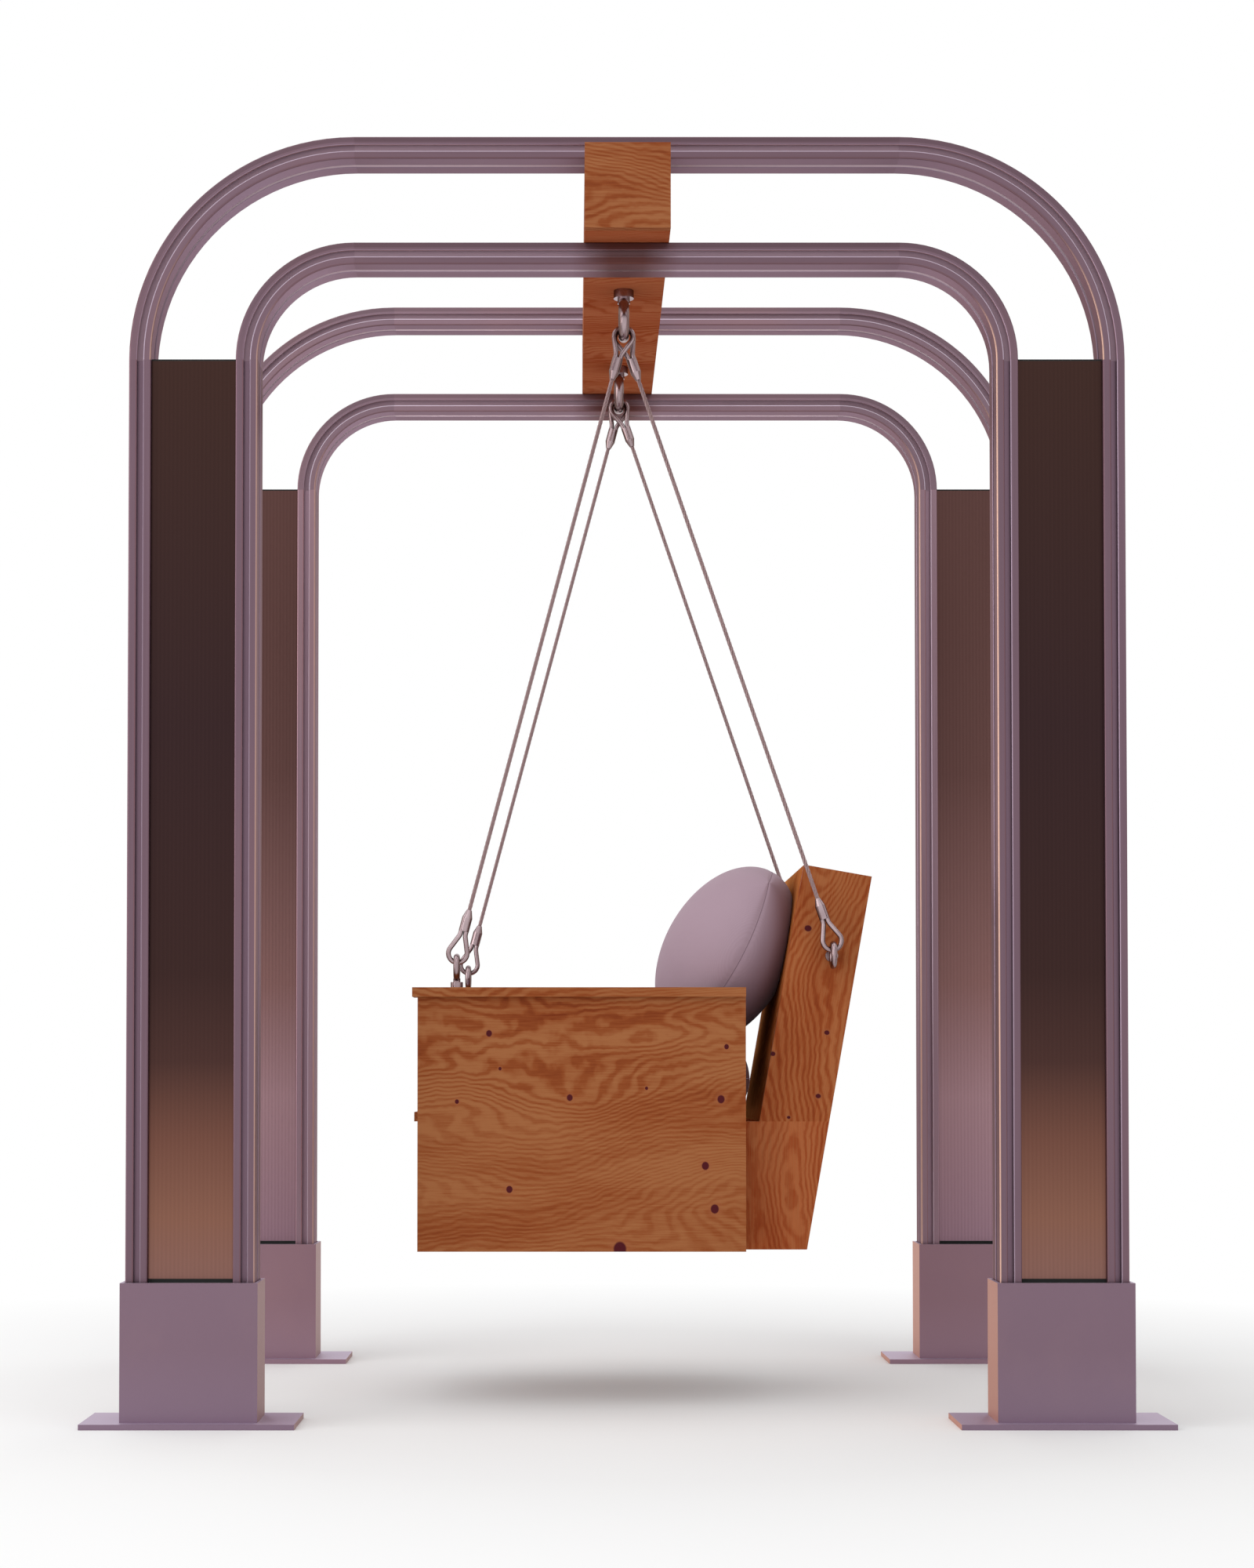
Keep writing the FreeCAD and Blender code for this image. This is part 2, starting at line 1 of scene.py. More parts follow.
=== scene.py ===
import math
import bpy
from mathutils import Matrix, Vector


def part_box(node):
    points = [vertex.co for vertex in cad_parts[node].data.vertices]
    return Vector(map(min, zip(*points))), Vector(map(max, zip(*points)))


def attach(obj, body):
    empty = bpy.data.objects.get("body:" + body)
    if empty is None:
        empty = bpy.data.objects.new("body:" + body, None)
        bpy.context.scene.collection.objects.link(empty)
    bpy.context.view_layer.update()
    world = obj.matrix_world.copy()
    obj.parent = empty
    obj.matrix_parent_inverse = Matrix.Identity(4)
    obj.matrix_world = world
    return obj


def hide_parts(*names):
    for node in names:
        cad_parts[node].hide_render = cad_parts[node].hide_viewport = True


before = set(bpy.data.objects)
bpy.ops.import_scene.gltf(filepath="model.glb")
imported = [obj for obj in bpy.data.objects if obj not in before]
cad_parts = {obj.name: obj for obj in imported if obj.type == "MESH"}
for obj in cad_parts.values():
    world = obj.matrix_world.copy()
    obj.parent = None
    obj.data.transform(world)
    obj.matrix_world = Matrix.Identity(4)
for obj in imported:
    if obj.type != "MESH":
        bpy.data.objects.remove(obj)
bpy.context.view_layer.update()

print("frame loaded", len(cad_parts), "nodes")


def linear(red, green, blue):
    # a colour read off a screen, 0 to 255, as the shader wants it
    levels = [level / 255 for level in (red, green, blue)]
    return (*[v / 12.92 if v <= 0.04045 else ((v + 0.055) / 1.055) ** 2.4 for v in levels], 1.0)


def grey(level):
    return (level, level, level, 1.0)


def evenly(scale):
    # the same scale along all three axes
    return (scale, scale, scale)


class Wire:
    # one output socket, with arithmetic
    def __init__(self, tree, socket=None):
        self.tree = tree
        self.socket = socket

    def node(self, kind, settings=None, sockets=None, out=0):
        made = self.tree.nodes.new("ShaderNode" + kind)
        for name, value in (settings or {}).items():
            if name == "stops":
                self.fillRamp(made.color_ramp, value)
            else:
                setattr(made, name, value)
        for name, value in (sockets or {}).items():
            if isinstance(value, Wire):
                self.tree.links.new(value.socket, made.inputs[name])
            else:
                made.inputs[name].default_value = value
        return Wire(self.tree, made.outputs[out] if made.outputs else None)

    def fillRamp(self, ramp, stops):
        while len(ramp.elements) > 1:
            ramp.elements.remove(ramp.elements[-1])
        ramp.elements[0].position, ramp.elements[0].color = stops[0]
        for place, colour in stops[1:]:
            ramp.elements.new(place).color = colour

    def other(self, out):
        return Wire(self.tree, self.socket.node.outputs[out])

    def maths(self, operation, first, second=0.0):
        return self.node("Math", {"operation": operation}, {0: first, 1: second})

    def __add__(self, value):
        return self.maths("ADD", self, value)

    def __radd__(self, value):
        return self.maths("ADD", value, self)

    def __sub__(self, value):
        return self.maths("SUBTRACT", self, value)

    def __rsub__(self, value):
        return self.maths("SUBTRACT", value, self)

    def __mul__(self, value):
        return self.maths("MULTIPLY", self, value)

    def __rmul__(self, value):
        return self.maths("MULTIPLY", value, self)

    def __truediv__(self, value):
        return self.maths("DIVIDE", self, value)

    def __rtruediv__(self, value):
        return self.maths("DIVIDE", value, self)

    def __pow__(self, value):
        return self.maths("POWER", self, value)

    def __neg__(self):
        return self.maths("SUBTRACT", 0.0, self)

    def clamped(self):
        return self.node("Clamp", {}, {0: self})

    def larger(self, value):
        return self.maths("MAXIMUM", self, value)

    def size(self):
        return self.maths("ABSOLUTE", self)

    def sign(self):
        return self.maths("SIGN", self)

    def centred(self):
        # a noise runs about 0.5, and this about 0
        return self - 0.5

    def over(self, low):
        # 1 above the limit and 0 below
        return self.maths("GREATER_THAN", self, low)

    def under(self, high):
        return self.maths("LESS_THAN", self, high)

    def between(self, low, high):
        return self.over(low) * self.under(high)

    def wave(self, turns):
        # 0 to 1 and back, so many times in a metre
        return self.maths("SINE", self * (turns * math.tau)) * 0.5 + 0.5

    def mix(self, first, second, blend="MIX"):
        # self is the share of the second colour; 6, 7 and 2 are the node's colour sockets
        settings = {"data_type": "RGBA", "blend_type": blend}
        return self.node("Mix", settings, {0: self, 6: first, 7: second}, 2)

    def axes(self):
        x = self.node("SeparateXYZ", {}, {0: self})
        return x, x.other("Y"), x.other("Z")

    def vector(self, x, y, z):
        return self.node("CombineXYZ", {}, {0: x, 1: y, 2: z})

    def noise(self, place, scales, detail=2.0, roughness=0.5, shift=(0.0, 0.0, 0.0)):
        # place is three wires, and scales is how fast the noise runs along each
        spot = [wire * scale for wire, scale in zip(place, scales)]
        spot = [wire + move if move else wire for wire, move in zip(spot, shift)]
        sockets = {"Vector": self.vector(*spot), "Scale": 1.0, "Detail": detail, "Roughness": roughness}
        return self.node("TexNoise", {}, sockets)

    def ramp(self, stops):
        return self.node("ValToRGB", {"stops": stops}, {0: self})

    def bump(self, strength, distance):
        return self.node("Bump", {}, {"Height": self, "Strength": strength, "Distance": distance})


def newMaterial(name):
    material = bpy.data.materials.new(name)
    material.use_nodes = True
    tree = material.node_tree
    tree.nodes.clear()
    return material, Wire(tree)


def finishMaterial(wire, finish, colour, height, uneven=None, more=None):
    # height is what the bump follows, and uneven is what varies the roughness
    roughness = finish["roughness"]
    if uneven:
        roughness = roughness + uneven * finish["roughnessSpread"]
    shader = wire.node("BsdfPrincipled", {}, {
        "Base Color": colour,
        "Metallic": finish.get("metallic", 0.0),
        "Roughness": roughness,
        "Normal": height.bump(*finish["bump"]),
        **(more or {}),
    })
    wire.node("OutputMaterial", {}, {0: shader})


def placeOf(wire, lean=0.0):
    # where a point is on the part at rest, turned upright where the board leans
    place = wire.node("TexCoord", out="Object")
    if lean:
        place = wire.node("VectorRotate", {"rotation_type": "Y_AXIS"}, {"Vector": place, "Angle": lean})
    return place.axes()


def facingOf(wire):
    # which way the surface faces
    return wire.node("NewGeometry", out="Normal").axes()


portalFade = {"perMetre": 0.98, "middle": 0.5}


def farShare(y):
    # 0 at the near portal and 1 at the far one
    return (y * portalFade["perMetre"] + portalFade["middle"]).clamped()


# Slotted bars: upright legs, level top bars and the bends between them

barSection = {
    "halfFace": 0.020,
    "halfDepth": 0.040,
    "slotReach": 0.0104,  # half the slot's width behind its lips
    "slotDepth": 0.0112,
    "mouth": 0.0057,  # half the opening between the lips
    "lipOverlap": 0.0003,
    "bevel": 0.0009,
    "corner": 0.0026,
    "rim": 0.0006,
    "skin": 0.0012,
    "lineWidth": 0.002,
}
barFinish = {
    # painted light: the bends are made lighter than the straight bars
    "face": {
        "leg": linear(128, 104, 117),
        "level": linear(123, 99, 110),
        "bend": linear(134, 109, 122),
    },
    # painted light: the slots and their walls are paler than the faces, to lift the shade inside them
    "slot": {
        "leg": linear(125, 101, 115),
        "level": linear(168, 142, 156),
        "bend": linear(156, 130, 144),
    },
    "slotWall": {
        "leg": linear(150, 123, 138),
        "level": linear(168, 128, 130),
        "bend": linear(168, 128, 130),
    },
    # painted light on the far portal's near faces
    "farLift": {
        "leg": (1.68, 1.72, 1.61, 1.0),
        "level": (1.55, 1.62, 1.56, 1.0),
        "bend": (1.2, 1.26, 1.22, 1.0),
    },
    # painted light in the underside slots of the lower bars
    "insideSlot": linear(224, 204, 212),
    "dull": linear(108, 85, 95),
    "warm": linear(124, 93, 98),
    # painted light and shade by which way a face turns
    "underLift": (1.6, 1.78, 1.85, 1.0),
    "leftWarmth": (1.08, 0.95, 0.9, 1.0),
    "rightWarmth": (0.95, 0.84, 0.82, 1.0),
    "bendLift": (1.35, 1.4, 1.45, 1.0),
    "upperShade": (0.75, 0.74, 0.73, 1.0),
    "edgeTint": (0.66, 0.52, 0.52, 1.0),
    "lipHighlight": linear(158, 136, 154),
    "lipHighlightShare": 0.8,
    # painted shade and highlights in lines beside the slots and along the lower edges
    "slotEdgeShade": linear(118, 80, 82),
    "slotEdgeShadeShare": 0.6,
    "shine": linear(188, 170, 186),
    "shineShare": 0.3,
    "lowerEdgeShade": linear(108, 76, 78),
    "lowerEdgeShadeShare": 0.6,
    "glow": linear(218, 178, 160),
    "glowFacing": (0.65, 0.35),
    "glowFade": 1.5,
    "beamShade": linear(92, 48, 34),
    "beamShadeShare": 0.75,
    "beamReach": 0.065,
    "beamBlur": 0.035,
    "streaks": ((420.0, 420.0, 2.5), 3.0, 0.6),  # scales, detail and roughness of a noise
    "streakShare": 0.7,
    "clouds": ((3.1, 3.1, 1.7), 2.0),
    "cloudShare": 0.5,
    "dullShare": 0.1,
    "warmFrom": 0.52,
    "warmGain": 2.0,
    "metallic": 0.85,
    "roughness": 0.42,
    "roughnessSpread": 0.16,
    "bump": (0.06, 0.0004),  # strength and distance
}


def middleOf(node, axis):
    low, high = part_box(node)
    return (low[axis] + high[axis]) / 2


def barLayout():
    # where the middle lines of the bars run
    outerLeg = middleOf("right_outer_rear_leg", 0)
    innerLeg = middleOf("right_inner_rear_leg", 0)
    outerTop = middleOf("right_outer_top_bar", 2)
    innerTop = middleOf("right_inner_top_bar", 2)
    return {
        "portal": middleOf("right_outer_top_bar", 1),
        "leg": (outerLeg + innerLeg) / 2,
        "top": (outerTop + innerTop) / 2,
        "step": (outerLeg - innerLeg) / 2,
        "bendX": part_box("right_outer_top_bar")[1].x,
        "bendZ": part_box("right_outer_rear_leg")[1].z,
    }


def barPlace(wire, kind):
    # offset is from midway between the outer and the inner bar, outward is from the bar's own middle
    x, y, z = placeOf(wire)
    line = barLayout()
    place = {"x": x, "y": y, "z": z}
    if kind == "leg":
        place["offset"] = x.size() - line["leg"]
        place["run"] = z
    elif kind == "level":
        place["offset"] = z - line["top"]
        place["run"] = x
        place["rising"] = 1.0
    else:
        aside = x.size() - line["bendX"]
        above = z - line["bendZ"]
        radius = (aside * aside + above * above) ** 0.5
        place["offset"] = radius - (line["top"] - line["bendZ"])
        place["run"] = wire.maths("ARCTAN2", above, aside) * radius
        place["rise"] = above / radius
        place["rising"] = place["rise"].clamped()
    place["outward"] = (place["offset"].size() - line["step"]) * place["offset"].sign()
    place["fromMiddle"] = place["outward"].size()
    place["fromPortal"] = (y.size() - line["portal"]).size()
    return place


def barMasks(place):
    # 1 in the slots, on their lips, on the outer skin and along the bar's inside corner, and 0 elsewhere
    middle, portal = place["fromMiddle"], place["fromPortal"]
    halfFace, halfDepth = barSection["halfFace"], barSection["halfDepth"]
    reach, depth, rim = barSection["slotReach"], barSection["slotDepth"], barSection["rim"]
    lipFrom = barSection["mouth"] - barSection["lipOverlap"]
    lipTo = barSection["mouth"] + barSection["bevel"]
    corner = barSection["corner"]
    skin = portal.over(halfDepth - barSection["skin"])
    front = middle.under(reach) * portal.between(halfDepth - depth, halfDepth - rim)
    side = portal.under(reach) * middle.between(halfFace - depth, halfFace - rim)
    frontLip = middle.between(lipFrom, lipTo) * skin
    sideLip = portal.between(lipFrom, lipTo) * middle.over(halfFace - barSection["skin"])
    return {
        "skin": skin,
        "front": front,
        "side": side,
        "slots": front.larger(side),
        "lips": frontLip.larger(sideLip),
        "inside": place["outward"].under(corner - halfFace) * portal.over(halfDepth - corner),
    }


def paintLightOnBarFaces(colour, kind, place, facing):
    # painted light and shade by facing: paler undersides, warmer left sides; the legs have warmer right
    # sides, the other bars paler insides and painted shade on their upper halves
    turnX, turnY, turnZ = facing
    colour = (-turnZ).clamped().mix(colour, barFinish["underLift"], "MULTIPLY")
    colour = (-turnX).clamped().mix(colour, barFinish["leftWarmth"], "MULTIPLY")
    if kind == "leg":
        return turnX.clamped().mix(colour, barFinish["rightWarmth"], "MULTIPLY")
    inner = (turnX * place["outward"].under(0.0)).clamped()
    colour = inner.mix(colour, barFinish["bendLift"], "MULTIPLY")
    upper = place["outward"].over(barSection["slotReach"]) * place["rising"]
    return upper.mix(colour, barFinish["upperShade"], "MULTIPLY")


def paintLightInBarSlots(colour, kind, place, masks, facing):
    # painted light: paler slot floors and walls lift the shade in the recesses
    slot = facing[1].size().mix(barFinish["slotWall"][kind], barFinish["slot"][kind])
    colour = masks["front"].mix(colour, slot)
    colour = masks["side"].mix(colour, barFinish["slot"]["leg"])
    if kind != "leg":
        # painted light: the underside slots of the lower bars are much paler
        below = masks["side"] * place["outward"].under(0.0) * place["rising"]
        colour = below.mix(colour, barFinish["insideSlot"])
    # painted highlight along the lips of the slots
    return (masks["lips"] * barFinish["lipHighlightShare"]).mix(colour, barFinish["lipHighlight"])


def drawBarLines(colour, kind, place, masks):
    near = barSection["mouth"]
    far = near + barSection["lineWidth"]
    if kind == "leg":
        # painted shade as a dark reddish line left of the slot, and a painted highlight as a pale line
        # right of it
        across = place["outward"] * place["x"].sign()
        left = across.between(-far, -near) * masks["skin"]
        right = across.between(near, far) * masks["skin"]
        colour = (left * barFinish["slotEdgeShadeShare"]).mix(colour, barFinish["slotEdgeShade"])
        return (right * barFinish["shineShare"]).mix(colour, barFinish["shine"])
    # a painted highlight as a pale line under the slot, and painted shade as a brown line along the lower
    # edge
    low = place["outward"].between(-far, -near) * masks["skin"]
    colour = low.mix(colour, barFinish["shine"])
    return (masks["inside"] * barFinish["lowerEdgeShadeShare"]).mix(colour, barFinish["lowerEdgeShade"])


def paintLightOnFarBars(colour, kind, place, masks, facing):
    # painted light: the far portal is paler on its near faces
    nearward, front = -facing[1], masks["front"]
    lit = front.larger(nearward) if kind == "leg" else nearward * (1.0 - front)
    return (farShare(place["y"]) * lit.clamped()).mix(colour, barFinish["farLift"][kind], "MULTIPLY")


def warmBarEdges(colour, kind, place, masks, facing):
    # a low warm light catches the edges that face the seat
    if kind == "leg":
        reached = place["offset"].under(0.0)
    else:
        reached = (1.0 - place["rise"] * barFinish["glowFade"]).clamped()
    base, turned = barFinish["glowFacing"]
    glow = masks["inside"] * reached * (base - facing[0] * turned).clamped()
    return glow.mix(colour, barFinish["glow"])


def shadeUnderBeam(colour, place):
    # the lower top bars are darker under the beam
    reach, blur = barFinish["beamReach"], barFinish["beamBlur"]
    shaded = ((reach + blur - place["x"].size()) / (blur * 2)).clamped() * place["offset"].under(0.0)
    return (shaded * barFinish["beamShadeShare"]).mix(colour, barFinish["beamShade"])


def barMaterial(name, kind):
    material, wire = newMaterial(name)
    place = barPlace(wire, kind)
    masks = barMasks(place)
    facing = facingOf(wire)
    streak = wire.noise((place["offset"], place["y"], place["run"]), *barFinish["streaks"])
    cloud = wire.noise((place["x"], place["y"], place["z"]), *barFinish["clouds"])
    bright = streak * barFinish["streakShare"] + cloud * barFinish["cloudShare"] - barFinish["dullShare"]
    colour = bright.clamped().mix(barFinish["dull"], barFinish["face"][kind])
    warm = ((cloud - barFinish["warmFrom"]) * barFinish["warmGain"]).clamped()
    colour = warm.mix(colour, barFinish["warm"])
    colour = paintLightOnBarFaces(colour, kind, place, facing)
    colour = paintLightInBarSlots(colour, kind, place, masks, facing)
    colour = drawBarLines(colour, kind, place, masks)
    colour = paintLightOnFarBars(colour, kind, place, masks, facing)
    if kind == "level":
        colour = shadeUnderBeam(colour, place)
    else:
        colour = warmBarEdges(colour, kind, place, masks, facing)
    metallic = barFinish["metallic"]
    if kind != "leg":
        metallic = metallic * (1.0 - masks["slots"])
    more = {"Specular Tint": barFinish["edgeTint"], "Metallic": metallic}
    finishMaterial(wire, barFinish, colour, streak, streak.centred(), more)
    return material


# Base shoes, scuffed near the floor

shoeFinish = {
    "face": linear(130, 106, 121),
    "scuffed": linear(146, 119, 127),
    "top": linear(184, 166, 187),
    "cheek": linear(160, 124, 122),
    "rightCheek": linear(202, 145, 127),
    "foot": linear(138, 116, 134),
    "footHeight": 0.14,
    "footGain": 7.0,
    "farLift": (1.35, 1.24, 1.14, 1.0),
    "grit": (evenly(900.0), 2.0),
    "gritShare": 0.2,
    "clouds": ((7.0, 7.0, 5.0), 4.0, 0.6),
    "scuffGain": 3.0,
    "scuffFade": 3.0,
    "scuffShare": 0.6,
    "metallic": 0.85,
    "roughness": 0.5,
    "roughnessSpread": 0.2,
    "bump": (0.12, 0.0004),
}


def shoeMaterial():
    material, wire = newMaterial("shoeSteel")
    place = placeOf(wire)
    x, y, z = place
    turnX, turnY, turnZ = facingOf(wire)
    grit = wire.noise(place, *shoeFinish["grit"])
    cloud = wire.noise(place, *shoeFinish["clouds"])
    low = (1.0 - z * shoeFinish["scuffFade"]).clamped()
    scuff = (cloud.centred() * shoeFinish["scuffGain"]).clamped() * low
    worn = (scuff * shoeFinish["scuffShare"] + grit * shoeFinish["gritShare"]).clamped()
    colour = worn.mix(shoeFinish["face"], shoeFinish["scuffed"])
    foot = ((shoeFinish["footHeight"] - z) * shoeFinish["footGain"]).clamped()
    colour = foot.mix(colour, shoeFinish["foot"])
    # the sides that face the seat take a warm light, the right ones more
    colour = (turnX * x.under(0.0)).clamped().mix(colour, shoeFinish["cheek"])
    colour = (-turnX * x.over(0.0)).clamped().mix(colour, shoeFinish["rightCheek"])
    # painted light: the far shoes are paler on their near faces
    far = farShare(y) * (-turnY).clamped()
    colour = far.mix(colour, shoeFinish["farLift"], "MULTIPLY")
    # painted light: the faces that turn up are paler
    colour = turnZ.clamped().mix(colour, shoeFinish["top"])
    finishMaterial(wire, shoeFinish, colour, grit, grit.centred())
    return material


# Bronze panels with fine upright ribs, and a painted reflection: dark above, copper towards the foot,
# paler on the far panels

panelFinish = {
    "foot": 0.266,
    "rise": 1.669,
    "ribsPerMetre": 134.0,
    "nearStops": (
        (0.0, linear(140, 101, 92)),
        (0.065, linear(139, 96, 80)),
        (0.15, linear(118, 78, 66)),
        (0.235, linear(77, 51, 47)),
        (0.33, linear(62, 41, 39)),
        (0.6, linear(58, 39, 40)),
        (1.0, linear(67, 45, 40)),
    ),
    "farStops": (
        (0.0, linear(164, 131, 145)),
        (0.19, linear(178, 141, 148)),
        (0.34, linear(150, 110, 107)),
        (0.62, linear(112, 79, 75)),
        (1.0, linear(98, 68, 64)),
    ),
    "brushing": ((600.0, 600.0, 2.0), 3.0, 0.6),
    "ribShare": 0.5,
    "brushingShare": 0.6,
    "groove": grey(0.86),
    "metallic": 0.9,
    "roughness": 0.36,
    "roughnessSpread": 0.12,
    "brushingHeight": 0.2,
    "bump": (0.12, 0.0005),
}


def panelMaterial():
    material, wire = newMaterial("bronzePanel")
    place = placeOf(wire)
    x, y, z = place
    level = (z - panelFinish["foot"]) / panelFinish["rise"]
    # painted reflection up the panel, with paler stops for the far panels
    colour = farShare(y).mix(level.ramp(panelFinish["nearStops"]), level.ramp(panelFinish["farStops"]))
    rib = x.wave(panelFinish["ribsPerMetre"])
    brushed = wire.noise(place, *panelFinish["brushing"])
    groove = (rib * panelFinish["ribShare"] + brushed * panelFinish["brushingShare"]).clamped()
    colour = groove.mix(colour, panelFinish["groove"], "MULTIPLY")
    height = rib + brushed * panelFinish["brushingHeight"]
    finishMaterial(wire, panelFinish, colour, height, brushed.centred())
    return material


# Rubber gaskets and plastic spacers

rubberFinish = {
    "paler": (14, 13, 14),
    "grain": (evenly(700.0), 2.0),
    "roughness": 0.7,
    "roughnessSpread": 0.15,
    "bump": (0.1, 0.0004),
}


def rubberMaterial(name, shade):
    material, wire = newMaterial(name)
    grain = wire.noise(placeOf(wire), *rubberFinish["grain"])
    paler = linear(*[shade + step for step in rubberFinish["paler"]])
    colour = grain.mix(linear(shade, shade, shade), paler)
    finishMaterial(wire, rubberFinish, colour, grain, grain)
    return material


# Bright steel of the bolts, eyes, thimbles and ferrules

steelFinish = {
    "bright": linear(204, 184, 188),
    "dull": linear(142, 120, 123),
    "shade": linear(98, 68, 58),
    "clouds": (evenly(14.0), 2.0),
    "cloudFrom": 0.3,
    "cloudGain": 1.8,
    "polish": (evenly(420.0), 2.0),
    "polishShare": 0.1,
    "sideFrom": 0.35,
    "sideGain": 1.7,
    "underGain": 0.4,
    "metallic": 1.0,
    "roughness": 0.2,
    "roughnessSpread": 0.08,
    "polishRoughness": 0.375,
    "bump": (0.012, 0.0003),
}


def steelMaterial():
    # painted shade: the sides and undersides of the small fittings are duller than what faces up and to
    # the front
    material, wire = newMaterial("brightSteel")
    place = placeOf(wire)
    turnX, turnY, turnZ = facingOf(wire)
    cloud = wire.noise(place, *steelFinish["clouds"])
    polish = wire.noise(place, *steelFinish["polish"])
    cleared = (cloud - steelFinish["cloudFrom"]) * steelFinish["cloudGain"]
    bright = (cleared + polish * steelFinish["polishShare"]).clamped()
    colour = bright.mix(steelFinish["dull"], steelFinish["bright"])
    aside = (turnX.size() - steelFinish["sideFrom"]) * steelFinish["sideGain"]
    shaded = (aside - turnZ * steelFinish["underGain"]).clamped()
    colour = shaded.mix(colour, steelFinish["shade"])
    finishMaterial(wire, steelFinish, colour, polish, cloud + polish * steelFinish["polishRoughness"])
    return material


# Strands of the wire ropes

strandFinish = {
    "dark": linear(112, 88, 88),
    "pale": linear(196, 168, 168),
    "clouds": (evenly(300.0), 2.0),
    "cloudShare": 0.6,
    "threads": ((1500.0, 1500.0, 500.0), 2.0),
    "threadShare": 0.5,
    "metallic": 0.8,
    "roughness": 0.38,
    "roughnessSpread": 0.16,
    "bump": (0.25, 0.0004),
}


def ropeMaterial():
    material, wire = newMaterial("wireStrand")
    place = placeOf(wire)
    cloud = wire.noise(place, *strandFinish["clouds"])
    thread = wire.noise(place, *strandFinish["threads"])
    bright = (cloud * strandFinish["cloudShare"] + thread * strandFinish["threadShare"]).clamped()
    colour = bright.mix(strandFinish["dark"], strandFinish["pale"])
    finishMaterial(wire, strandFinish, colour, thread, thread)
    return material


# Plywood

plyFinish = {
    "toneStops": ((0.0, linear(161, 102, 63)), (0.5, linear(141, 73, 37)), (1.0, linear(112, 43, 18))),
    "lineStops": ((0.12, grey(0.0)), (0.55, grey(0.42)), (0.92, grey(1.0))),
    "drift": ((3.0, 4.5, 4.0), 1.0),
    "driftReach": 0.1,
    "field": ((1.5, 5.5, 5.0), 1.5, 0.4),
    "fieldSeed": 1.7,
    "fieldLines": 40.0,
    "sideLines": 50.0,
    "plyLines": 170.0,
    "wobble": ((30.0, 26.0, 20.0), 2.0),
    "wobbleLines": 1.3,
    "patches": ((2.4, 11.0, 6.0), 2.0),
    "patchFrom": 0.4,
    "patchGain": 2.6,
    "patchShare": 0.5,
    "broad": ((1.1, 3.0, 2.6), 1.0),
    "broadFrom": 0.36,
    "broadGain": 2.2,
    "lineShare": (0.22, 0.4),  # the least, and how much more
    "fibres": ((9.0, 560.0, 560.0), 3.0, 0.6),
    "fibreShare": 0.5,
    "flecks": ((24.0, 300.0, 300.0), 2.0),
    "fleckShare": 0.6,
    "sunFrom": 0.4,
    "sunGain": 2.0,
    "roughness": 0.5,
    "roughnessSpread": 0.16,
    "fibreHeight": 0.6,
    "lineHeight": 0.2,
    "bump": (0.1, 0.0005),
}
plyKnots = {
    "knot": linear(78, 26, 32),
    "halo": linear(156, 92, 58),
    "haloShare": 0.6,
    "cells": (4.2, 6.5),
    "scatteredKnot": (0.032, 120.0),  # where a mask ends, and how sharply
    "scatteredHalo": (0.07, 22.0),
    "placedKnot": (1.1, 4.0),
    "placedHalo": (2.2, 0.8),
    "stretch": 1.15,
}


def fadeOut(away, end, gain):
    return ((end - away) * gain).clamped()


def knotMasks(wire, along, side, seed, knots):
    # a knot and a halo for each knot that is placed, or one pair for knots scattered over the board
    if knots is None:
        perAlong, perSide = plyKnots["cells"]
        cell = wire.vector(along * perAlong + seed, side * perSide + seed, 0.0)
        away = wire.node("TexVoronoi", {"voronoi_dimensions": "2D"}, {"Vector": cell, "Scale": 1.0})
        return [fadeOut(away, *plyKnots["scatteredKnot"])], [fadeOut(away, *plyKnots["scatteredHalo"])]
    cores, halos = [], []
    for knotAlong, knotSide, radius in knots:
        lengthwise = (along - knotAlong) / radius
        sideways = (side - knotSide) / (radius * plyKnots["stretch"])
        away = (lengthwise * lengthwise + sideways * sideways) ** 0.5
        cores.append(fadeOut(away, *plyKnots["placedKnot"]))
        halos.append(fadeOut(away, *plyKnots["placedHalo"]))
    return cores, halos


def strongest(masks):
    top = masks[0]
    for mask in masks[1:]:
        top = top.larger(mask)
    return top


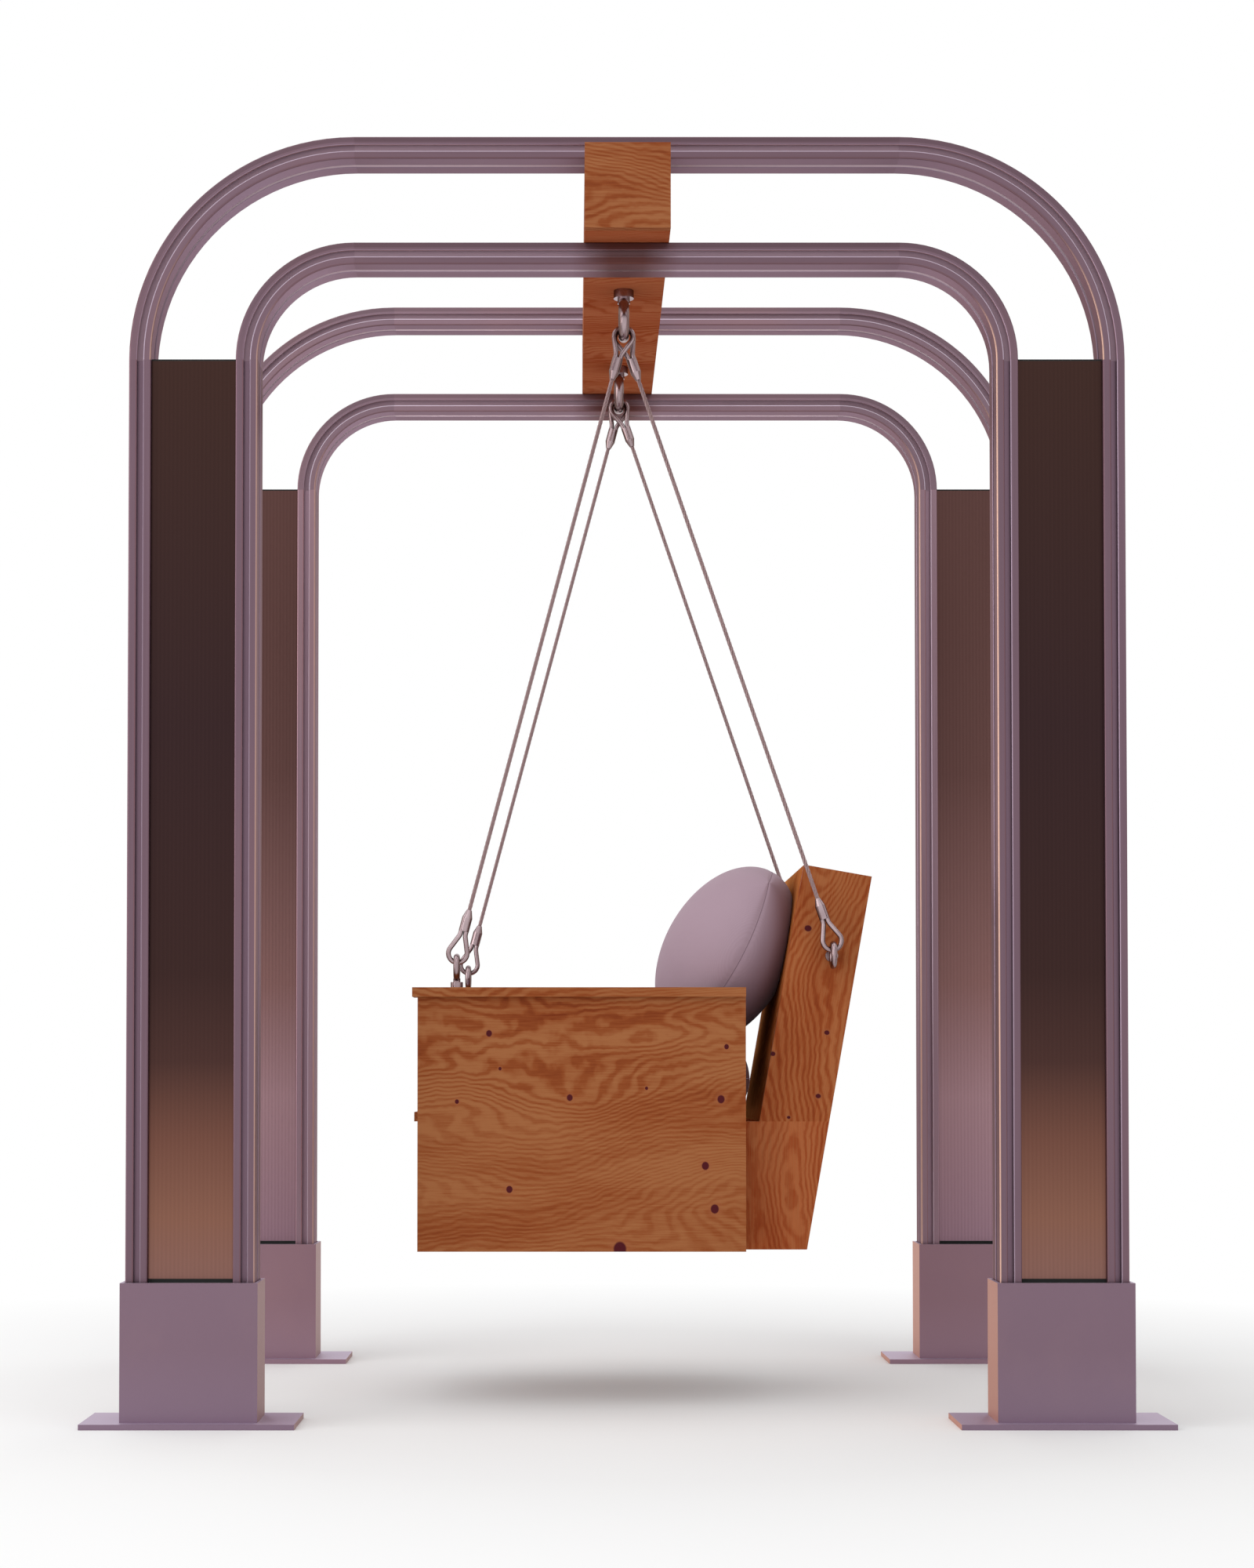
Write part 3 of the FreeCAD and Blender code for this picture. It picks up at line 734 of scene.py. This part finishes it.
def plyMaterial(name, grain, across, seed, lean=0.0, knots=None, matt=0.05, boardLight=None, sun=None):
    # grain and across are axes of the face veneer, and the third runs through the board
    material, wire = newMaterial(name)
    spot = dict(zip("xyz", placeOf(wire, lean)))
    along, side = spot[grain], spot[across]
    through = spot[({"x", "y", "z"} - {grain, across}).pop()]
    place = (along, side, through)
    seedAlong, seedBoth = (seed, 0.0, 0.0), (seed, seed, 0.0)
    drift = wire.noise(place, *plyFinish["drift"], shift=seedBoth).centred()
    bent = side + drift * plyFinish["driftReach"]
    bentPlace = (along, bent, through)
    # growth lines of a peeled veneer
    fieldShift = (seed * plyFinish["fieldSeed"], seed, 0.0)
    field = wire.noise(bentPlace, *plyFinish["field"], shift=fieldShift)
    wobble = wire.noise(place, *plyFinish["wobble"], shift=seedAlong)
    phase = field * plyFinish["fieldLines"] + bent * plyFinish["sideLines"]
    phase = phase + wobble * plyFinish["wobbleLines"] + through * plyFinish["plyLines"]
    line = phase.wave(1.0).ramp(plyFinish["lineStops"])  # grey, so it can go on as a value
    broad = wire.noise(place, *plyFinish["broad"], shift=seedAlong)
    least, more = plyFinish["lineShare"]
    strength = ((broad - plyFinish["broadFrom"]) * plyFinish["broadGain"]).clamped() * more + least
    # darker patches, fibres and flecks
    patch = wire.noise(bentPlace, *plyFinish["patches"], shift=seedBoth)
    fibre = wire.noise(place, *plyFinish["fibres"])
    fleck = wire.noise(place, *plyFinish["flecks"], shift=seedAlong)
    patched = ((patch - plyFinish["patchFrom"]) * plyFinish["patchGain"]).clamped()
    tone = line * strength + patched * plyFinish["patchShare"]
    tone = tone + fibre.centred() * plyFinish["fibreShare"] + fleck.centred() * plyFinish["fleckShare"]
    colour = tone.clamped().ramp(plyFinish["toneStops"])
    # painted light and shade: the board's colour is multiplied to make it lighter, darker or redder than
    # the other boards
    if boardLight:
        colour = fibre.mix(colour, boardLight, "MULTIPLY")
    if sun:
        colour = (side * plyFinish["sunGain"] + plyFinish["sunFrom"]).clamped().mix(colour, sun)
    cores, halos = knotMasks(wire, along, side, seed, knots)
    if cores:
        colour = (strongest(halos) * plyKnots["haloShare"]).mix(colour, plyKnots["halo"])
        colour = strongest(cores).mix(colour, plyKnots["knot"])
    height = fibre * plyFinish["fibreHeight"] + line * plyFinish["lineHeight"]
    finishMaterial(wire, plyFinish, colour, height, fibre, {"Specular IOR Level": matt})
    return material


# Cushion cloth and its seams

clothFinish = {
    "face": linear(172, 148, 160),
    "dip": linear(156, 131, 144),
    "threadsPerMetre": 640.0,
    "drift": (evenly(40.0), 2.0),
    "driftReach": 0.0008,
    "weftSlope": 0.8,
    "weaveShare": 0.35,
    "clouds": (evenly(5.0), 3.0),
    "cloudShare": 0.4,
    "dusk": linear(112, 82, 90),
    "duskFacing": (0.6, 0.5, 0.22),  # to the rear, downward, and everywhere
    "shade": linear(92, 62, 62),
    "shadeBehind": (0.14, 12.0),
    "shadeBelow": (0.71, 14.0),
    "wrinkles": ((16.0, 9.0, 16.0), 3.0, 0.55),
    "weaveHeight": 0.06,
    "roughness": 0.85,
    "specular": 0.12,
    "sheen": 0.08,
    "sheenRoughness": 0.5,
    "bump": (0.3, 0.004),
}
seamFinish = {
    "dark": linear(112, 90, 100),
    "pale": linear(138, 114, 126),
    "stitchesPerMetre": 240.0,
    "roughness": 0.8,
    "bump": (0.2, 0.0005),
}


def clothMaterial():
    material, wire = newMaterial("cushionCloth")
    place = placeOf(wire)
    x, y, z = place
    turnX, turnY, turnZ = facingOf(wire)
    drift = wire.noise(place, *clothFinish["drift"]) * clothFinish["driftReach"]
    warp = (y + drift).wave(clothFinish["threadsPerMetre"])
    weft = (z + x * clothFinish["weftSlope"] + drift).wave(clothFinish["threadsPerMetre"])
    weave = warp * weft
    cloud = wire.noise(place, *clothFinish["clouds"])
    wrinkle = wire.noise(place, *clothFinish["wrinkles"])
    dip = (weave * clothFinish["weaveShare"] + cloud * clothFinish["cloudShare"]).clamped()
    colour = dip.mix(clothFinish["face"], clothFinish["dip"])
    # painted shade on faces that turn to the rear and downward, and a little everywhere
    rearward, downward, everywhere = clothFinish["duskFacing"]
    dusk = (turnX * rearward - turnZ * downward + everywhere).clamped()
    colour = dusk.mix(colour, clothFinish["dusk"])
    # the rear end of the seat cushion lies in the shade of the back
    behind, behindGain = clothFinish["shadeBehind"]
    below, belowGain = clothFinish["shadeBelow"]
    shaded = ((x - behind) * behindGain).clamped() * ((below - z) * belowGain).clamped()
    colour = shaded.mix(colour, clothFinish["shade"])
    height = wrinkle + weave * clothFinish["weaveHeight"]
    finishMaterial(wire, clothFinish, colour, height, more={
        "Specular IOR Level": clothFinish["specular"],
        "Sheen Weight": clothFinish["sheen"],
        "Sheen Roughness": clothFinish["sheenRoughness"],
    })
    return material


def seamMaterial():
    material, wire = newMaterial("seamThread")
    x, y, z = placeOf(wire)
    stitch = (x + y + z).wave(seamFinish["stitchesPerMetre"])
    finishMaterial(wire, seamFinish, stitch.mix(seamFinish["dark"], seamFinish["pale"]), stitch)
    return material


# Camera at the photograph's place

cameraView = {
    "place": (-0.0968, -5.0911, 0.6391),
    "tilt": 0.0242,
    "lens": 57.69,
    "sensor": 36.0,
    "shift": (0.034, 0.145),
}


def makeCamera():
    data = bpy.data.cameras.new("viewCamera")
    data.lens = cameraView["lens"]
    data.sensor_width = cameraView["sensor"]
    data.shift_x, data.shift_y = cameraView["shift"]
    camera = bpy.data.objects.new("viewCamera", data)
    camera.location = cameraView["place"]
    camera.rotation_euler = (math.pi / 2 + cameraView["tilt"], 0, 0)
    bpy.context.scene.collection.objects.link(camera)
    bpy.context.scene.camera = camera
    print("camera placed")


def meshPiece(name, points, faces, material, smooth=True):
    mesh = bpy.data.meshes.new(name)
    mesh.from_pydata(points, [], faces)
    mesh.materials.append(material)
    if smooth:
        mesh.shade_smooth()
    piece = bpy.data.objects.new(name, mesh)
    bpy.context.scene.collection.objects.link(piece)
    return piece


def addRing(points, middle, right, up, radius, sides, start=0.0):
    for side in range(sides):
        angle = start + math.tau * side / sides
        points.append(middle + (right * math.cos(angle) + up * math.sin(angle)) * radius)


def joinRings(faces, first, second, sides):
    # first and second are the numbers of the rings' first points
    for side in range(sides):
        following = (side + 1) % sides
        faces.append((first + side, first + following, second + following, second + side))


# Wire ropes: six strands laid round a core, from ferrule to ferrule

ropeLay = {
    "diameter": 0.008,
    "strands": 6,
    "strandShare": 0.335,  # of the rope's radius
    "coreShare": 0.42,
    "sides": 8,
    "lay": 0.058,
    "beamFitting": 0.087614,
    "seatFitting": 0.0928,
    "straightFrom": 0.048,
    "samples": 110,
}
ropeEnds = {
    "front": ((0.0, 0.2702, 2.061), (-0.3215, 0.264, 0.861)),
    "rear": ((0.0, 0.2578, 2.061), (0.4015, 0.273, 0.885)),
}


def routePoints(name, controls):
    data = bpy.data.curves.new(name, "CURVE")
    data.dimensions = "3D"
    data.resolution_u = ropeLay["samples"]
    spline = data.splines.new("NURBS")
    spline.points.add(len(controls) - 1)
    for point, place in zip(spline.points, controls):
        point.co = (*place, 1.0)
    spline.order_u = 3
    spline.use_endpoint_u = True
    route = bpy.data.objects.new(name, data)
    bpy.context.scene.collection.objects.link(route)
    line = bpy.data.meshes.new_from_object(route)
    points = [vertex.co.copy() for vertex in line.vertices]
    bpy.data.objects.remove(route)
    bpy.data.curves.remove(data)
    bpy.data.meshes.remove(line)
    return points


def tube(points, faces, centres, radius, sides, offset=0.0, turns=0.0, start=0.0):
    # a tube along the centres, or wound round them at an offset
    count = len(centres)
    base = len(points)
    run = 0.0
    for index, centre in enumerate(centres):
        ahead = centres[min(index + 1, count - 1)]
        behind = centres[max(index - 1, 0)]
        heading = (ahead - behind).normalized()
        right = Vector((0, 1, 0)).cross(heading).normalized()
        up = heading.cross(right)
        if index:
            run += (centre - centres[index - 1]).length
        angle = start + run * turns * math.tau
        middle = centre + (right * math.cos(angle) + up * math.sin(angle)) * offset
        addRing(points, middle, right, up, radius, sides, angle)
    for index in range(count - 1):
        joinRings(faces, base + index * sides, base + (index + 1) * sides, sides)
    faces.append(tuple(base + side for side in reversed(range(sides))))
    faces.append(tuple(base + (count - 1) * sides + side for side in range(sides)))


def makeRopes(material):
    radius = ropeLay["diameter"] / 2
    strandRadius = radius * ropeLay["strandShare"]
    turns = 1 / ropeLay["lay"]
    sides = ropeLay["sides"]
    for sideName, sign in (("left", -1), ("right", 1)):
        for endName, (beamEye, seatEye) in ropeEnds.items():
            top = Vector((beamEye[0], sign * beamEye[1], beamEye[2]))
            low = Vector((seatEye[0], sign * seatEye[1], seatEye[2]))
            line = (low - top).normalized()
            first = top + line * ropeLay["beamFitting"]
            last = low - line * ropeLay["seatFitting"]
            near = line * ropeLay["straightFrom"]
            name = sideName + endName.capitalize() + "WireRope"
            route = routePoints(name + "Route", (first, first + near, last - near, last))
            points, faces = [], []
            tube(points, faces, route, radius * ropeLay["coreShare"], sides)
            for strand in range(ropeLay["strands"]):
                start = math.tau * strand / ropeLay["strands"]
                tube(points, faces, route, strandRadius, sides, radius - strandRadius, turns, start)
            rope = meshPiece(name, points, faces, material)
            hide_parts(f"{sideName}_{endName}_rope")
            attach(rope, "swing")


# Cushions: two covers sewn together at a seam round the middle, then plumped

seatCushion = {
    "node": "seat_cushion",
    "edge": (0.036, 0.032),
    "rounding": 0.04,
    "crown": 0.06,
    "bow": 0.0,
    "cells": (60, 46),
    "shrink": 0.996,
    "pressure": 3.0,
    "cap": 0.003,
}
backCushion = {
    "node": "back_cushion",
    "lean": math.radians(27.5),
    "height": 0.389,
    "width": 0.440,
    "front": 0.132,
    "rear": 0.118,
    "edge": (0.1945, 0.17),
    "rounding": 0.7,
    "crown": 0.0,
    "bow": -0.018,
    "cells": (50, 56),
    "shrink": 0.992,
    "pressure": 4.0,
    "cap": 0.004,
}
cushionSim = {"frames": 20, "quality": 6, "mass": 0.3, "stiffness": 30.0, "bending": 0.6}
cushionSeam = {"dip": 0.0012, "radius": 0.0008, "sides": 6, "guide": (0.3, 0.2, 0.93)}
backBoard = {"foot": (0.262, 0.544), "lean": math.radians(10.0), "gap": 0.0006}
seatBoardTop = 0.562


def swell(share):
    # rises from the seam like a quarter of a circle
    return math.sqrt(1 - (1 - min(share, 1.0)) ** 2)


def pillow(values, size, crowns, centre, up, side, out):
    # grid over the two covers, finer towards the seam; s and t run from -1 to 1 over them
    rows, columns = values["cells"]
    halfLong, halfWide = (length / 2 * values["shrink"] for length in size)
    points, faces = [], []
    index = {}
    for cover in (1, -1):
        crown = crowns[0] if cover > 0 else -crowns[1]
        for row in range(rows + 1):
            s = math.sin(math.pi / 2 * (2 * row / rows - 1))
            for column in range(columns + 1):
                t = math.sin(math.pi / 2 * (2 * column / columns - 1))
                edge = row in (0, rows) or column in (0, columns)
                if edge and cover < 0:
                    index[cover, row, column] = index[1, row, column]
                    continue
                a = s * halfLong * math.sqrt(1 - values["rounding"] * t * t / 2)
                b = t * halfWide * math.sqrt(1 - values["rounding"] * s * s / 2)
                rise = swell((1 - abs(s)) * halfLong / values["edge"][0])
                rise *= swell((1 - abs(t)) * halfWide / values["edge"][1])
                rounded = 1 - values["crown"] * (1 - (1 - s * s) * (1 - t * t))
                c = crown * values["shrink"] * rise * rounded
                c += values["bow"] * (1 - s * s) * t * t
                index[cover, row, column] = len(points)
                points.append(centre + up * a + side * b + out * c)
    for cover in (1, -1):
        for row in range(rows):
            for column in range(columns):
                loop = [index[cover, row + i, column + j] for i, j in ((0, 0), (1, 0), (1, 1), (0, 1))]
                faces.append(tuple(loop if cover > 0 else reversed(loop)))
    # once round the four edges
    seam = [index[1, 0, column] for column in range(columns)]
    seam += [index[1, row, columns] for row in range(rows)]
    seam += [index[1, rows, column] for column in range(columns, 0, -1)]
    seam += [index[1, row, 0] for row in range(rows, 0, -1)]
    return points, faces, seam


def plump(piece, values):
    # a short cloth run under pressure, with each point's move held to the cap
    scene = bpy.context.scene
    rest = [vertex.co.copy() for vertex in piece.data.vertices]
    cloth = piece.modifiers.new("plump", "CLOTH")
    cloth.settings.quality = cushionSim["quality"]
    cloth.settings.mass = cushionSim["mass"]
    cloth.settings.tension_stiffness = cushionSim["stiffness"]
    cloth.settings.compression_stiffness = cushionSim["stiffness"]
    cloth.settings.bending_stiffness = cushionSim["bending"]
    cloth.settings.use_pressure = True
    cloth.settings.uniform_pressure_force = values["pressure"]
    cloth.settings.effector_weights.gravity = 0.0
    cloth.point_cache.frame_start = 1
    cloth.point_cache.frame_end = cushionSim["frames"]
    for step in range(1, cushionSim["frames"] + 1):
        scene.frame_set(step)
    settled = piece.evaluated_get(bpy.context.evaluated_depsgraph_get())
    shape = settled.to_mesh()
    moved = [vertex.co.copy() for vertex in shape.vertices]
    settled.to_mesh_clear()
    piece.modifiers.remove(cloth)
    scene.frame_set(1)
    for vertex, start, end in zip(piece.data.vertices, rest, moved):
        shift = end - start
        if shift.length > values["cap"]:
            shift = shift * (values["cap"] / shift.length)
        vertex.co = start + shift
    print("plumped", piece.name)


def dipSeam(piece, seam, centre):
    for number in seam:
        vertex = piece.data.vertices[number]
        vertex.co += (centre - vertex.co).normalized() * cushionSeam["dip"]


def seamPiece(name, piece, seam, material):
    points, faces = [], []
    loop = [piece.data.vertices[number].co.copy() for number in seam]
    count = len(loop)
    sides = cushionSeam["sides"]
    guide = Vector(cushionSeam["guide"])
    for place, centre in enumerate(loop):
        following = (place + 1) % count
        heading = (loop[following] - loop[place - 1]).normalized()
        right = heading.cross(guide).normalized()
        up = right.cross(heading)
        addRing(points, centre, right, up, cushionSeam["radius"], sides)
        joinRings(faces, place * sides, following * sides, sides)
    thread = meshPiece(name, points, faces, material)
    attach(thread, "swing")


def dressCushion(name, values, size, crowns, centre, axes, rests, materials):
    points, faces, seam = pillow(values, size, crowns, centre, *axes)
    piece = meshPiece(name, points, faces, materials["cloth"])
    plump(piece, values)
    dipSeam(piece, seam, centre)
    for vertex in piece.data.vertices:
        vertex.co = rests(vertex.co)
    smooth = piece.modifiers.new("smooth", "SUBSURF")
    smooth.levels = smooth.render_levels = 1
    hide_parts(values["node"])
    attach(piece, "swing")
    seamPiece(name + "Seam", piece, seam, materials["seam"])


def restOnBoard(place):
    return Vector((place.x, place.y, max(place.z, seatBoardTop + backBoard["gap"])))


def restOnBack(place):
    # no nearer to the leaning board than the gap
    facing = Vector((-math.cos(backBoard["lean"]), 0, math.sin(backBoard["lean"])))
    foot = Vector((backBoard["foot"][0], 0, backBoard["foot"][1]))
    away = (place - foot).dot(facing)
    if away < backBoard["gap"]:
        place = place + facing * (backBoard["gap"] - away)
    return place


def makeCushions(materials):
    across = Vector((0, 1, 0))
    low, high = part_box("seat_cushion")
    size = high - low
    level = (Vector((1, 0, 0)), across, Vector((0, 0, 1)))
    dressCushion("seatCushionCover", seatCushion, size.xy, (size.z / 2, size.z / 2), (low + high) / 2,
                 level, restOnBoard, materials)
    low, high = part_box("back_cushion")
    lean = backCushion["lean"]
    up = Vector((math.sin(lean), 0, math.cos(lean)))
    out = Vector((-math.cos(lean), 0, math.sin(lean)))
    half, front, rear = backCushion["height"] / 2, backCushion["front"], backCushion["rear"]
    # the middle of the seam, from how far the oval reaches forward and down
    forward = math.hypot(half * math.sin(lean), front * math.cos(lean))
    down = math.hypot(half * math.cos(lean), rear * math.sin(lean))
    centre = Vector((low.x + forward, 0, low.z + down))
    dressCushion("backCushionCover", backCushion, (half * 2, backCushion["width"]), (front, rear), centre,
                 (up, across, out), restOnBack, materials)


# Caps that close the tops of the panels

panelCap = {"thick": 0.003}


def boxPiece(name, low, high, material):
    xs, ys, zs = zip(low, high)
    points = [Vector((x, y, z)) for x in xs for y in ys for z in zs]
    faces = [(0, 1, 3, 2), (4, 6, 7, 5), (0, 4, 5, 1), (2, 3, 7, 6), (0, 2, 6, 4), (1, 5, 7, 3)]
    return meshPiece(name, points, faces, material, False)


def makePanelCaps(material):
    for sideName in ("left", "right"):
        for endName in ("front", "rear"):
            low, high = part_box(f"{sideName}_{endName}_infill_panel")
            bottom = (low.x, low.y, high.z)
            top = (high.x, high.y, high.z + panelCap["thick"])
            cap = boxPiece(sideName + endName.capitalize() + "PanelCap", bottom, top, material)
            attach(cap, "frame")
    print("panels capped")


# Boards: name of the finish, axis of the grain, axis across it, seed of the figure, and what is special

armKnots = (
    (-0.2585, 0.7131, 0.0057),
    (-0.2375, 0.6458, 0.003),
    (-0.3197, 0.583, 0.0039),
    (-0.1043, 0.5905, 0.0057),
    (0.1951, 0.6877, 0.0045),
    (0.1844, 0.5875, 0.007),
    (0.0423, 0.6084, 0.003),
    (0.1544, 0.4605, 0.007),
    (0.1722, 0.3784, 0.0079),
    (-0.2194, 0.4157, 0.0061),
    (-0.0087, 0.3023, 0.0123),
)
stileKnots = (
    (0.9654, 0.1921, 0.0061),
    (0.7729, 0.2625, 0.0045),
    (0.7145, 0.1666, 0.0045),
    (0.6492, 0.2671, 0.0045),
    (0.5987, 0.2179, 0.003),
)
# painted light and shade for some boards, as colour multipliers
boardLightFor = {
    "baseSide": (1.34, 0.92, 0.8, 1.0),
    "stile": (1.26, 1.0, 0.86, 1.0),
    "backFront": (1.6, 1.4, 1.0, 1.0),
    "beamBottom": (1.15, 0.75, 1.05, 1.0),
    "beamLeftEnd": (0.84, 0.82, 0.92, 1.0),
}
leaning = {"lean": -backBoard["lean"]}
leaningStile = {**leaning, "boardLight": boardLightFor["stile"]}
clearMatt = {"knots": (), "matt": 0.0}
sunnyBack = {**leaning, **clearMatt, "boardLight": boardLightFor["backFront"], "sun": linear(192, 128, 74)}
shadedBeam = {**clearMatt, "boardLight": boardLightFor["beamBottom"]}
boards = {
    "left_arm_outer_panel": ("plyLeftArm", "x", "z", 0.0, {"knots": armKnots}),
    "right_arm_outer_panel": ("plyRightArm", "x", "z", 3.7, {}),
    "arm_inner_panels": ("plyArmInner", "x", "z", 7.1, {}),
    "arm_end_strips": ("plyStrip", "z", "y", 1.3, {}),
    "left_arm_top": ("plyLeftArmTop", "x", "y", 2.2, {}),
    "right_arm_top": ("plyRightArmTop", "x", "y", 5.9, {}),
    "base_sides": ("plyBaseSide", "z", "x", 4.4, {"knots": (), "boardLight": boardLightFor["baseSide"]}),
    "base_front_board": ("plyBaseFront", "y", "z", 6.3, {}),
    "seat_board": ("plySeat", "y", "x", 8.8, {}),
    "left_back_stile": ("plyLeftStile", "z", "x", 9.6, {**leaningStile, "knots": stileKnots}),
    "right_back_stile": ("plyRightStile", "z", "x", 11.2, leaningStile),
    "back_front_board": ("plyBackFront", "z", "y", 12.5, sunnyBack),
    "back_rear_board": ("plyBackRear", "z", "y", 13.1, leaning),
    "back_top_board": ("plyBackTop", "y", "x", 14.9, leaning),
    "beam_bottom_board": ("plyBeamBottom", "x", "y", 15.3, shadedBeam),
    "beam_top_board": ("plyBeamTop", "y", "x", 16.8, {}),
    "beam_front_web": ("plyBeamFront", "y", "z", 17.4, {}),
    "beam_rear_web": ("plyBeamRear", "y", "z", 18.2, {}),
    "beam_left_end_cap": ("plyBeamLeftEnd", "x", "z", 19.5, {"boardLight": boardLightFor["beamLeftEnd"]}),
    "beam_right_end_cap": ("plyBeamRightEnd", "x", "z", 20.7, {}),
}
boardEdge = {"width": 0.0012, "segments": 2}


def easeEdges(board):
    bevel = board.modifiers.new("edge", "BEVEL")
    bevel.width = boardEdge["width"]
    bevel.segments = boardEdge["segments"]
    bevel.limit_method = "ANGLE"


def dressNodes(materials):
    # a board has a finish of its own, and the rest goes by the end of its name or is bright steel
    woods = {}
    for name, (finish, grain, across, seed, special) in boards.items():
        woods[name] = plyMaterial(finish, grain, across, seed, **special)
    endings = {
        "_leg": barMaterial("uprightBar", "leg"),
        "_top_bar": barMaterial("levelBar", "level"),
        "_bends": barMaterial("bentBar", "bend"),
        "base_shoe": materials["shoe"],
        "infill_panel": materials["panel"],
        "panel_gaskets": materials["rubber"],
        "leg_spacers": materials["spacer"],
    }
    for name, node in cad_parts.items():
        finish = woods.get(name, materials["steel"])
        for ending, metal in endings.items():
            if name.endswith(ending):
                finish = metal
        node.data.materials.clear()
        node.data.materials.append(finish)
        if name in woods:
            easeEdges(node)
    print("dressed", len(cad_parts), "nodes")


# Floor, light and backdrop

studio = {
    "floor": 9.0,
    "floorDepth": 3,
    "floorPale": 0.84,
    "fadeFrom": 1.15,
    "fadeOver": 1.4,
    "ambient": 0.88,
    "lamps": {
        "overheadLamp": ((-0.8, -0.6, 5.4), 6.0, 70.0),  # place, size, power
        "leftLamp": ((-4.6, -2.2, 2.2), 4.0, 90.0),
    },
    "aim": (0.0, 0.0, 1.0),
}


def shownRays(wire):
    # 1 for what is seen straight, mirrored or through something, and 0 for light that only bounces
    seen = wire.node("LightPath", out="Is Camera Ray")
    return seen.larger(seen.other("Is Glossy Ray")).larger(seen.other("Is Transmission Ray"))


def makeFloor():
    # a lit floor that fades to white away from the part
    material, wire = newMaterial("paleFloor")
    x, y, z = placeOf(wire)
    away = (x * x + y * y) ** 0.5
    fade = ((away - studio["fadeFrom"]) / studio["fadeOver"]).clamped() * shownRays(wire)
    lit = wire.node("BsdfDiffuse", {}, {"Color": grey(studio["floorPale"])})
    plain = wire.node("Emission", {}, {"Color": grey(1.0)})
    wire.node("OutputMaterial", {}, {0: wire.node("MixShader", {}, {0: fade, 1: lit, 2: plain})})
    half = studio["floor"]
    back = half * studio["floorDepth"]
    corners = [(-half, -half, 0), (half, -half, 0), (half, back, 0), (-half, back, 0)]
    floor = meshPiece("studioFloor", corners, [(0, 1, 2, 3)], material, False)


def makeBackdrop():
    world = bpy.data.worlds.new("softRoom")
    bpy.context.scene.world = world
    world.use_nodes = True
    world.node_tree.nodes.clear()
    wire = Wire(world.node_tree)
    glow = shownRays(wire).mix(grey(studio["ambient"]), grey(1.0))
    wire.node("OutputWorld", {}, {0: wire.node("Background", {}, {"Color": glow})})


def makeStudio():
    scene = bpy.context.scene
    scene.view_settings.view_transform = "Standard"
    makeFloor()
    makeBackdrop()
    for name, (place, size, power) in studio["lamps"].items():
        lamp = bpy.data.lights.new(name, "AREA")
        lamp.size = size
        lamp.energy = power
        holder = bpy.data.objects.new(name, lamp)
        holder.location = place
        aim = Vector(studio["aim"]) - holder.location
        holder.rotation_euler = aim.to_track_quat("-Z", "Y").to_euler()
        scene.collection.objects.link(holder)
    print("studio lit")


makeCamera()
materials = {
    "shoe": shoeMaterial(),
    "panel": panelMaterial(),
    "rubber": rubberMaterial("blackRubber", 8),
    "spacer": rubberMaterial("spacerPlastic", 40),
    "steel": steelMaterial(),
    "cloth": clothMaterial(),
    "seam": seamMaterial(),
}
print("materials ready")
makeRopes(ropeMaterial())
makeCushions(materials)
makePanelCaps(materials["rubber"])
dressNodes(materials)
makeStudio()
